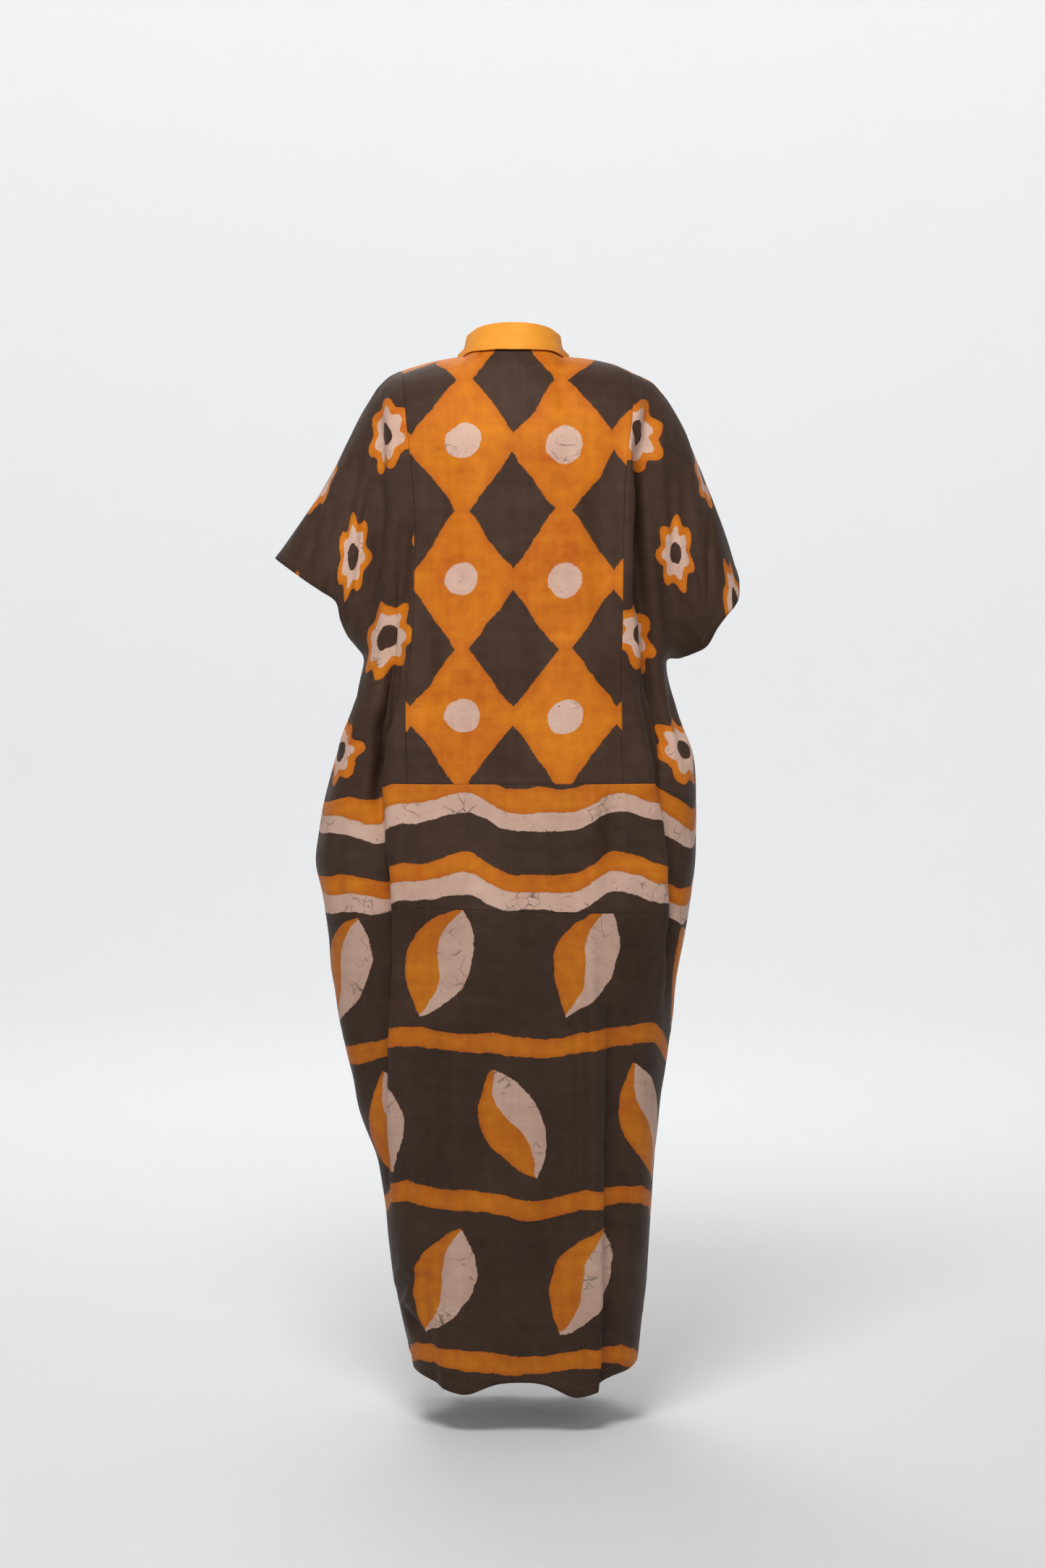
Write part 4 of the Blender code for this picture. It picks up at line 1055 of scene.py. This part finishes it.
def crack_lines(across, up, scale, width, layer):
    """Fine bent lines of one size, in patches."""
    tree = across.socket.id_data
    bent_across = across + noise(across, up, CRACK_BEND, 3, layer) * CRACK_BEND_REACH
    bent_up = up + noise(across, up, CRACK_BEND, 3, layer + 1) * CRACK_BEND_REACH
    point = cut_point(bent_across, bent_up, layer)
    cells = tree.nodes.new("ShaderNodeTexVoronoi")
    cells.feature = "DISTANCE_TO_EDGE"
    cells.inputs["Scale"].default_value = scale
    tree.links.new(point, cells.inputs["Vector"])
    line = (-(Dye(cells.outputs["Distance"]) - width)).inside(width)
    return line * (noise(across, up, CRACK_PATCH, 3, layer + 2) - PATCH_LEVEL).inside(PATCH_EDGE)


def cracks(across, up):
    """Broken lines and specks where the wax cracked and let the brown dye in."""
    long, short = (crack_lines(across, up, *size) for size in CRACK_SIZES)
    specks = (noise(across, up, SPECKS, 1, 40) - SPECK_LEVEL).inside(SPECK_EDGE)
    return long.maths("MAXIMUM", short).maths("MAXIMUM", specks)


def dyed_cotton(name, print_design, painted_shade_scale=1.0):
    """Plain-weave cotton, dyed through: brown, with what the design keeps orange and pale."""
    # Painted shade: all the colours are scaled down for the lower panels, for the light that falls off
    # towards the hem.
    colours = np.array([BROWN, PALE_BROWN, ORANGE, DEEP_ORANGE, PINK, DEEP_PINK]) * painted_shade_scale
    brown, pale_brown, amber, deep_amber, pink, deep_pink = colours.tolist()
    material, tree = new_material(name)
    across, up = place_on_cut(tree)
    orange, pale = print_design(*hand_drawn(across, up))
    rim = (orange - RIM).inside(RIM)
    orange, pale = orange.inside(), pale.inside()
    broad = noise(across, up, BROAD_CLOUDS, 4, 50) * BROAD_DEPTH + 0.5
    cloud = broad.maths("ADD", noise(across, up, FINE_CLOUDS, 3, 51), clamp=True)
    warp_streak = noise(across * STREAK_CLOSE, up * STREAK_LONG, STREAK_SCALE, 3, 52)
    weft_streak = noise(across * STREAK_LONG, up * STREAK_CLOSE, STREAK_SCALE, 3, 53)
    tone = cloud.maths("ADD", (warp_streak + weft_streak) * STREAK_DEPTH, clamp=True)
    ground = mixed(tone, brown, pale_brown)
    orange_tone = tone * (rim * RIM_DEPTH + (1 - RIM_DEPTH))
    ground = mixed(orange, ground, mixed(orange_tone, deep_amber, amber))
    ground = mixed(pale, ground, mixed(tone, deep_pink, pink))
    resisted = orange.maths("MAXIMUM", pale)
    cracked = cracks(across, up) * (resisted * CRACKS_IN_ORANGE + pale * CRACKS_IN_PALE)
    ground = mixed(cracked, ground, CRACK_COLOUR)
    cotton_surface(tree, across, up, ground)
    return material


def cotton_surface(tree, across, up, colour):
    """Joins a colour to the shader, with the weave, slubs and soft wrinkles as bump."""
    shader = tree.nodes["Principled BSDF"]
    tree.links.new(colour.socket, shader.inputs["Base Color"])
    warp = (across * (2 * math.pi * THREADS_PER_METRE)).maths("SINE")
    weft = (up * (2 * math.pi * THREADS_PER_METRE)).maths("SINE")
    weave = warp * weft * WEAVE_DEPTH
    warp_slubs = noise(across * SLUB_CLOSE, up * SLUB_LONG, SLUB_SCALE, 2, 60)
    weft_slubs = noise(across * SLUB_LONG, up * SLUB_CLOSE, SLUB_SCALE, 2, 61)
    slubs = warp_slubs + weft_slubs
    fine_wrinkles = noise(across, up, FINE_WRINKLE_SCALE, 2, 63) * FINE_WRINKLE_SHARE
    wrinkles = noise(across, up, WRINKLE_SCALE, 3, 62) + fine_wrinkles
    height = weave + slubs * WEAVE_DEPTH + wrinkles * WRINKLE_DEPTH
    bump = tree.nodes.new("ShaderNodeBump")
    bump.inputs["Strength"].default_value = SURFACE_STRENGTH
    bump.inputs["Distance"].default_value = 1.0
    tree.links.new(height.socket, bump.inputs["Height"])
    tree.links.new(bump.outputs[0], shader.inputs["Normal"])
    roughness = (slubs * SLUB_ROUGHNESS).maths("ADD", COTTON_ROUGHNESS, clamp=True)
    tree.links.new(roughness.socket, shader.inputs["Roughness"])
    shader.inputs["Sheen Weight"].default_value = COTTON_SHEEN
    shader.inputs["Sheen Roughness"].default_value = SHEEN_ROUGHNESS
    shader.inputs["Specular IOR Level"].default_value = COTTON_GLOSS


def diamonds(across, up):
    """Brown diamonds that almost touch on orange, with a pale dot in each orange gap."""
    a = (across.maths("PINGPONG", DIAMOND_WIDTH / 2)) * (1 / DIAMOND_WIDTH)
    b = (up.maths("PINGPONG", DIAMOND_HEIGHT / 2)) * (1 / DIAMOND_HEIGHT)
    orange = (a + b - (0.5 - DIAMOND_SHRINK)) * (DIAMOND_WIDTH / 2)
    dot_across = (a - 0.5) * DIAMOND_WIDTH
    dot_up = (b - 0.5) * DIAMOND_HEIGHT
    away = (dot_across * dot_across + dot_up * dot_up).maths("SQRT")
    return orange, -(away - DOT_RADIUS)


def laid_out(points, cut):
    """A flat grid mesh moved into these points, which also keeps their places on the cut."""
    bm = bmesh.new()
    bmesh.ops.create_grid(bm, x_segments=points.shape[1] - 1, y_segments=points.shape[0] - 1, size=0.5)
    flat_places = cut.reshape(-1, 2)
    for vertex, place in zip(bm.verts, points.reshape(-1, 3)):
        vertex.co = place
    on_cut = bm.loops.layers.uv.new("cut")
    for face in bm.faces:
        for loop in face.loops:
            loop[on_cut].uv = flat_places[loop.vert.index]
        face.smooth = True
    return bm


def panel(node, rows, edges, material, flat, area, hangs_from, slit=None):
    """One cut panel as a thin shell: a flat grid that takes the shape in which the cloth hangs."""
    layer = BACK if node.startswith("back") else FRONT
    block = slice(rows[0], rows[1] + 1), slice(edges[0], edges[1] + 1)
    points, cut = hung[layer][block].copy(), cuts[layer][block].copy()
    cut[..., 0] += FRONT_CUT_SHIFT if layer == FRONT else 0
    for edge, inner in ((np.s_[:, 0], np.s_[:, 1]), (np.s_[:, -1], np.s_[:, -2]), (-1, -2), (0, 1)):
        points[edge] += unit(points[inner] - points[edge]) * SEWN_GAP
    bm = laid_out(points, cut)
    if layer == BACK:
        bmesh.ops.reverse_faces(bm, faces=bm.faces)
    if slit:
        slit(bm)
    piece = shown(f"{node}_cloth", bm)
    piece.data.materials.append(material)
    wall = piece.modifiers.new("cloth thickness", "SOLIDIFY")
    wall.thickness, wall.offset = CLOTH_THICKNESS, 0
    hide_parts(node)
    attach(piece, "root")


NECK_TO_WAIST = row_at[0], row_at[WAIST_ROW]
CENTRE_EDGES = column_at[LEFT_SEAM], column_at[RIGHT_SEAM]
centre_print = dyed_cotton("diamond_print", diamonds)
panel("back_center", NECK_TO_WAIST, CENTRE_EDGES, centre_print, CENTRE_CUT, CENTRE_AREA, ["front_center"])


# Back wings
# Each wing is the sleeve and the side of the robe in one, brown with scattered waxed flowers.
# It is sewn to the centre panel and left open at the cuff, above the side seam.
FLOWER_ACROSS, FLOWER_UP = 0.176, 0.132
PETALS = 7
PETAL_RADIUS, INNER_RADIUS, EYE_RADIUS = 0.044, 0.031, 0.015
PETAL_WAVE = 0.13
WING_CUT, WING_AREA = (0.34, 0.62), 0.105


def flowers(across, up):
    """Orange flowers with pale hearts and brown eyes, in rows that are shifted by half."""
    row = (up * (1 / FLOWER_UP)).maths("FLOOR")
    shifted = across * (1 / FLOWER_ACROSS) + row * 0.5
    x = (shifted.maths("FRACT") - 0.5) * FLOWER_ACROSS
    y = ((up * (1 / FLOWER_UP)).maths("FRACT") - 0.5) * FLOWER_UP
    away = (x * x + y * y).maths("SQRT")
    wave = ((y.maths("ARCTAN2", x) + row) * PETALS).maths("COSINE")
    orange = (wave * PETAL_WAVE + 1) * PETAL_RADIUS - away
    pale = ((wave * PETAL_WAVE + 1) * INNER_RADIUS - away).maths("MINIMUM", away - EYE_RADIUS)
    orange = orange.maths("MINIMUM", away - EYE_RADIUS)
    return orange, pale


flower_print = dyed_cotton("flower_print", flowers)
WING_EDGES = {"left": (0, column_at[LEFT_SEAM]), "right": (column_at[RIGHT_SEAM], len(fine_columns) - 1)}
for side, edges in WING_EDGES.items():
    node = f"back_wing_{side}"
    panel(node, NECK_TO_WAIST, edges, flower_print, WING_CUT, WING_AREA, ["back_center"])


# Back waist band
# A straight band round the hips, brown, with a wavy double line of orange and pale at each edge.
# It is sewn to the centre panel and wings above, and to the skirt below.
BAND_WAVES = ((0.0120, 0.235, 0.6), (0.0040, 0.097, 2.4))
# The lower and upper edge of each line, up from the waist seam.
ORANGE_LINES = ((-0.026, 0.004), (-0.130, -0.106))
PALE_LINES = ((-0.051, -0.026), (-0.156, -0.130))
WAIST_CUT, WAIST_AREA = (0.71, 0.18), 0.122


def waved(across, up, waves):
    """Places up the cut, moved by gentle waves along it: height, length and start of each."""
    for height, length, start in waves:
        up = up + (across * (2 * math.pi / length) + start).maths("SINE") * height
    return up


def double_waves(across, up):
    """Two wavy double lines along the band."""
    up = waved(across, up, BAND_WAVES)
    masks = []
    for lines in (ORANGE_LINES, PALE_LINES):
        insides = [(up - low).maths("MINIMUM", -(up - high)) for low, high in lines]
        masks.append(insides[0].maths("MAXIMUM", insides[1]))
    return masks


# The band is painted with half the skirt's painted shade.
wave_print = dyed_cotton("wave_print", double_waves, (1 + LOWER_PAINTED_SHADE) / 2)
WAIST_TO_HIP = row_at[WAIST_ROW], row_at[HIP_ROW]
ALL_ACROSS = 0, len(fine_columns) - 1
panel("back_waist", WAIST_TO_HIP, ALL_ACROSS, wave_print, WAIST_CUT, WAIST_AREA, ["back_center"])


# Back skirt
# The long lower back, brown, with leaves that are half orange and half pale between orange lines.
# It is sewn to the band at the hips and to the front at the sides, and hemmed.
LEAF_ACROSS, LEAF_UP = 0.192, 0.213
LEAF_CENTRE = -0.232  # the height of one row of leaves, up from the waist seam
LEAF_HALF_WIDTH, LEAF_HALF_HEIGHT = 0.043, 0.079
LEAF_LEAN = 0.36  # the sine of each leaf's lean, one way and then the other
LINE_HALF_WIDTH = 0.0125
LINE_WAVES = ((0.005, 0.31, 1.1), (0.002, 0.12, 0.3))
VEIN_WAVE, VEIN_TURNS = 0.009, 44
SKIRT_CUT, SKIRT_AREA = (0.72, 0.66), 0.365


def leaves(across, up):
    """Rows of leaning two-coloured leaves, with a plain orange line between the rows."""
    share = (up - LEAF_CENTRE) * (1 / LEAF_UP) + 0.5
    row = share.maths("FLOOR")
    lean = (row.maths("MODULO", 2).maths("ABSOLUTE") * 2 - 1) * LEAF_LEAN
    x = ((across * (1 / LEAF_ACROSS) + row * 0.5).maths("FRACT") - 0.5) * LEAF_ACROSS
    y = (share.maths("FRACT") - 0.5) * LEAF_UP
    upright = math.sqrt(1 - LEAF_LEAN**2)
    x, y = x * upright + y * lean, y * upright - x * lean
    tall = y * (1 / LEAF_HALF_HEIGHT)
    leaf = -(tall * tall - 1) * LEAF_HALF_WIDTH - x.maths("ABSOLUTE")
    vein = x + (y * VEIN_TURNS).maths("SINE") * VEIN_WAVE
    pale = leaf.maths("MINIMUM", vein)
    between = ((waved(across, up, LINE_WAVES) - LEAF_CENTRE) * (1 / LEAF_UP)).maths("FRACT") - 0.5
    line = -(between.maths("ABSOLUTE") * LEAF_UP - LINE_HALF_WIDTH)
    return leaf.maths("MAXIMUM", line), pale


# The skirt's colours are darkened by the painted shade.
leaf_print = dyed_cotton("leaf_print", leaves, LOWER_PAINTED_SHADE)
HIP_TO_HEM = row_at[HIP_ROW], row_at[HEM_ROW]
panel("back_skirt", HIP_TO_HEM, ALL_ACROSS, leaf_print, SKIRT_CUT, SKIRT_AREA, ["back_waist"])


# Front panels
# The front is cut and dyed like the back, from another stretch of the cloth, and sewn to it. Its
# centre panel has a lower neckline and a plain slit, which makes room to pull the robe on.
FRONT_CENTRE_AREA, FRONT_SKIRT_AREA = 0.175, 0.395
SLIT_WIDTH = 0.006
SLIT_ROWS = 6  # how many rows of the coarse grid the slit goes down


def part_the_slit(bm):
    """The front's neck slit: the cloth parts at the middle, most at the neck."""
    top = coarse[FRONT][0, COLUMNS, 2]
    end = coarse[FRONT][SLIT_ROWS, COLUMNS, 2]
    middle = hung[FRONT][: row_at[SLIT_ROWS] + 1, column_at[COLUMNS]]
    on_line = {tuple(np.round(place, 5)) for place in middle}
    cut_edges = [e for e in bm.edges if all(tuple(np.round(v.co, 5)) in on_line for v in e.verts)]
    bmesh.ops.split_edges(bm, edges=cut_edges)
    for vertex in bm.verts:
        if tuple(np.round(vertex.co, 5)) in on_line:
            side = sum(face.calc_center_median().x - vertex.co.x for face in vertex.link_faces)
            open_share = 1 - ((top - vertex.co.z) / (top - end)) ** 2
            if open_share > 0:
                vertex.co.x += math.copysign(SLIT_WIDTH / 2 * open_share, side)


front_centre = NECK_TO_WAIST, CENTRE_EDGES, centre_print, CENTRE_CUT, FRONT_CENTRE_AREA
panel("front_center", *front_centre, ["back_center"], slit=part_the_slit)
for side, edges in WING_EDGES.items():
    node = f"front_wing_{side}"
    panel(node, NECK_TO_WAIST, edges, flower_print, WING_CUT, WING_AREA, ["front_center"])
panel("front_waist", WAIST_TO_HIP, ALL_ACROSS, wave_print, WAIST_CUT, WAIST_AREA, ["front_center"])
panel("front_skirt", HIP_TO_HEM, ALL_ACROSS, leaf_print, SKIRT_CUT, FRONT_SKIRT_AREA, ["front_waist"])


# Collar
# A strip of plain orange cotton, sewn to the neck's edge and folded over outwards, with its two ends
# at the front slit. It is pressed from two layers, so it is thicker than the robe.
COLLAR_CLOTH = 0.0014
COLLAR_LIFT = 0.0011  # its foot stands this far outside the middle of the robe's solid
COLLAR_STEP = 0.0016
COLLAR_YELLOW, COLLAR_ORANGE = (0.94, 0.40, 0.040), (0.86, 0.27, 0.022)
# The ripple along its edge: height, ripples per metre, and how fast they come and go.
COLLAR_RIPPLE, COLLAR_RIPPLES, RIPPLE_TURN = 0.0007, 23, 31
# How uneven its dye is: broad clouds, fine clouds and their share, and the tone they vary.
COLLAR_CLOUDS, COLLAR_FINE_CLOUDS, FINE_SHARE, COLLAR_TONE = 18, 90, 0.6, 0.6

# The folded collar's middle line: it leans in as it rises from the neck's edge, then folds over the
# top and comes down outside.
COLLAR_PROFILE = columns(
    "lean out rise",
    (0.00, 0.00, 0.00), (0.40, 0.02, 0.45), (0.92, 0.05, 0.86), (1.00, 0.16, 1.00),
    (0.92, 0.34, 0.95), (0.45, 0.62, 0.60), (0.00, 1.00, 0.13),
)
# The collar's sizes at the back, the sides and the front, and how far round each of these is.
COLLAR_ROUND = (0, 0.25, 1)
COLLAR_LEAN = (0.0055, 0.0140, 0.0)
COLLAR_HEIGHT = (0.0262, 0.0140, 0.0190)
COLLAR_SPREAD = (0.013, 0.012, 0.009)
COLLAR_OPENING = 0.012
END_SLACK = 0.0001  # how near the opening a point still counts as the collar's end


def collar_cloth():
    """Plain dyed cotton, a little uneven in colour, with the same weave as the robe."""
    material, tree = new_material("collar_cotton")
    across, up = place_on_cut(tree)
    fine = noise(across, up, COLLAR_FINE_CLOUDS, 3, 71) * FINE_SHARE
    tone = (noise(across, up, COLLAR_CLOUDS, 4, 70) + fine).maths("ADD", COLLAR_TONE, clamp=True)
    cotton_surface(tree, across, up, mixed(tone, COLLAR_ORANGE, COLLAR_YELLOW))
    return material


def round_neck(layers):
    """The neck's edge in one line: from the front's left half, round the back, to its right half."""
    left, middle, right = column_at[[COLUMNS - NECK_COLUMN, COLUMNS, COLUMNS + NECK_COLUMN]]
    front, back = layers[FRONT][0], layers[BACK][0]
    left_half, right_half = front[left : middle + 1][::-1], front[middle : right + 1][::-1]
    return np.concatenate([left_half, back[left + 1 : right], right_half])


def collar_grid():
    """The collar's rows, from its foot on the neck's edge over its top and down outside it."""
    ring = round_neck(hung)
    ways = unit(round_neck({layer: vertex_normals(hung[layer], layer) for layer in hung}))
    for end, beside in ((0, 1), (-1, -2)):
        step = ring[beside] - ring[end]
        ring[end] += step * min(1, COLLAR_OPENING / 2 / abs(step[0]))
        ways[end] = ways[beside]
    open_ends = np.abs(ring[:, 0]) >= COLLAR_OPENING / 2 - END_SLACK
    ring, ways = ring[open_ends | (ring[:, 1] > 0)], ways[open_ends | (ring[:, 1] > 0)]
    centre = np.array([0, (NECK_BACK_DEPTH - NECK_FRONT_DEPTH) / 2, 0])
    away = unit(np.cross(ways, np.gradient(ring, axis=0)))
    away *= np.sign(np.sum(away * (ring - centre)))
    to_front = ease((1 - unit(ring - centre)[:, 1:2]) / 2)
    upwards = unit(ways * to_front + np.array([0, 0, 1.0]) * (1 - to_front))
    foot = ring + ways * COLLAR_LIFT
    lean, height, spread = (
        np.interp(to_front, COLLAR_ROUND, sizes) for sizes in (COLLAR_LEAN, COLLAR_HEIGHT, COLLAR_SPREAD)
    )
    shape = np.stack(list(COLLAR_PROFILE.values()), -1)
    tall = distances(shape)
    steps = round(tall[-1] * COLLAR_HEIGHT[0] / COLLAR_STEP)
    along = distances(ring)
    ripple = COLLAR_RIPPLE * np.sin(along * COLLAR_RIPPLES * 2 * np.pi) * np.sin(along * RIPPLE_TURN + 2)
    rows = []
    for inwards, out, rise in curve(shape, tall, np.linspace(0, tall[-1], steps)):
        outwards = spread * out - lean * inwards + ripple[:, None] * max(out, 0)
        rows.append(foot + away * outwards + upwards * height * rise)
    return np.array(rows)


collar_rows = collar_grid()
collar_mesh = laid_out(collar_rows, np.stack([lengths(collar_rows, 1), lengths(collar_rows, 0)], -1))
bmesh.ops.recalc_face_normals(collar_mesh, faces=collar_mesh.faces)
collar = shown("collar_cloth", collar_mesh)
collar.data.materials.append(collar_cloth())
collar_wall = collar.modifiers.new("two layers of cloth", "SOLIDIFY")
collar_wall.thickness, collar_wall.offset = COLLAR_CLOTH, 0
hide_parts("collar")
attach(collar, "root")


# Machine stitching
# Thread runs along the turned hem, both cuffs and the slit, and along the collar's free edge. It is
# close in colour to the cloth, and each stitch sinks a little way into it.
STITCH_STEP, STITCH_LENGTH, STITCH_WIDTH = 0.0042, 0.0030, 0.00055
SLIT_TURN, COLLAR_TURN = 0.005, 0.004
THREAD_BROWN, THREAD_ORANGE = (0.13, 0.070, 0.045), (0.80, 0.25, 0.02)
THREAD_ROUGHNESS, TWIST_SCALE, TWIST_LIGHT = 0.55, 900, 1.3


def thread(name, colour):
    """Spun cotton thread, a little lighter where it is twisted."""
    material, tree = new_material(name)
    place = tree.nodes.new("ShaderNodeTexCoord")
    twist = tree.nodes.new("ShaderNodeTexNoise")
    twist.inputs["Scale"].default_value = TWIST_SCALE
    tree.links.new(place.outputs["Object"], twist.inputs["Vector"])
    shade = mixed(Dye(twist.outputs["Fac"]), colour, tuple(channel * TWIST_LIGHT for channel in colour))
    shader = tree.nodes["Principled BSDF"]
    tree.links.new(shade.socket, shader.inputs["Base Color"])
    shader.inputs["Roughness"].default_value = THREAD_ROUGHNESS
    return material


def stitch_line(bm, line, ways, lift):
    """A run of stitches along a line of points on the cloth."""
    along = distances(line)
    for at in np.arange(STITCH_STEP / 2, along[-1], STITCH_STEP):
        place, ahead, way = (
            Vector([np.interp(at + more, along, values[:, k]) for k in range(3)])
            for values, more in ((line, 0), (line, STITCH_STEP / 2), (ways, 0))
        )
        length = (ahead - place).normalized()
        way = (way - length * way.dot(length)).normalized()
        turned = Matrix((length, way.cross(length), way)).transposed().to_4x4()
        sized = Matrix.Diagonal((STITCH_LENGTH / 2, STITCH_WIDTH / 2, STITCH_WIDTH / 2, 1))
        moved = Matrix.Translation(place + way * lift)
        bmesh.ops.create_icosphere(bm, subdivisions=1, radius=1, matrix=moved @ turned @ sized)


def beside(grid, axis, start, inwards, first, last, turn):
    """The line on the cloth a turning's width in from one edge of the grid."""
    line = []
    for i in range(first, last):
        row = grid[:, i] if axis == 0 else grid[i]
        row = row[start::inwards]
        along = distances(row[:, :3])
        line.append([np.interp(turn, along, row[:, k]) for k in range(row.shape[1])])
    return np.array(line)


def stitching(name, bm, material):
    """These stitches as one piece."""
    for face in bm.faces:
        face.smooth = True
    piece = shown(name, bm)
    piece.data.materials.append(material)
    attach(piece, "root")


robe_thread = bmesh.new()
outer_face = CLOTH_THICKNESS / 2
for layer in (BACK, FRONT):
    shell = np.concatenate([hung[layer], unit(vertex_normals(hung[layer], layer))], -1)
    lines = [beside(shell, 0, -1, -1, 1, shell.shape[1] - 1, HEM_TURN)]
    for start, inwards in ((0, 1), (-1, -1)):
        lines.append(beside(shell, 1, start, inwards, 2, row_at[UNDERARM_ROW] - 1, CUFF_TURN))
    for line in lines:
        stitch_line(robe_thread, line[:, :3], line[:, 3:], outer_face)
for side in (-1, 1):
    rows = slice(2, row_at[SLIT_ROWS] - 1)
    middle = column_at[COLUMNS]
    for_half = shell[rows, middle:] if side < 0 else shell[rows, middle::-1]
    line = beside(for_half, 1, 0, 1, 0, len(for_half), SLIT_TURN)
    stitch_line(robe_thread, line[:, :3], line[:, 3:], outer_face)
stitching("robe_stitching", robe_thread, thread("brown_thread", THREAD_BROWN))

collar_thread = bmesh.new()
collar_ways = unit(vertex_normals(collar_rows, BACK))
outwards = np.sign(np.sum(collar_ways[-1] * (collar_rows[-1] - collar_rows[-1].mean(axis=0))))
shell = np.concatenate([collar_rows, collar_ways * outwards], -1)
line = beside(shell, 0, -1, -1, 2, shell.shape[1] - 2, COLLAR_TURN)
stitch_line(collar_thread, line[:, :3], line[:, 3:], COLLAR_CLOTH / 2)
stitching("collar_stitching", collar_thread, thread("orange_thread", THREAD_ORANGE))
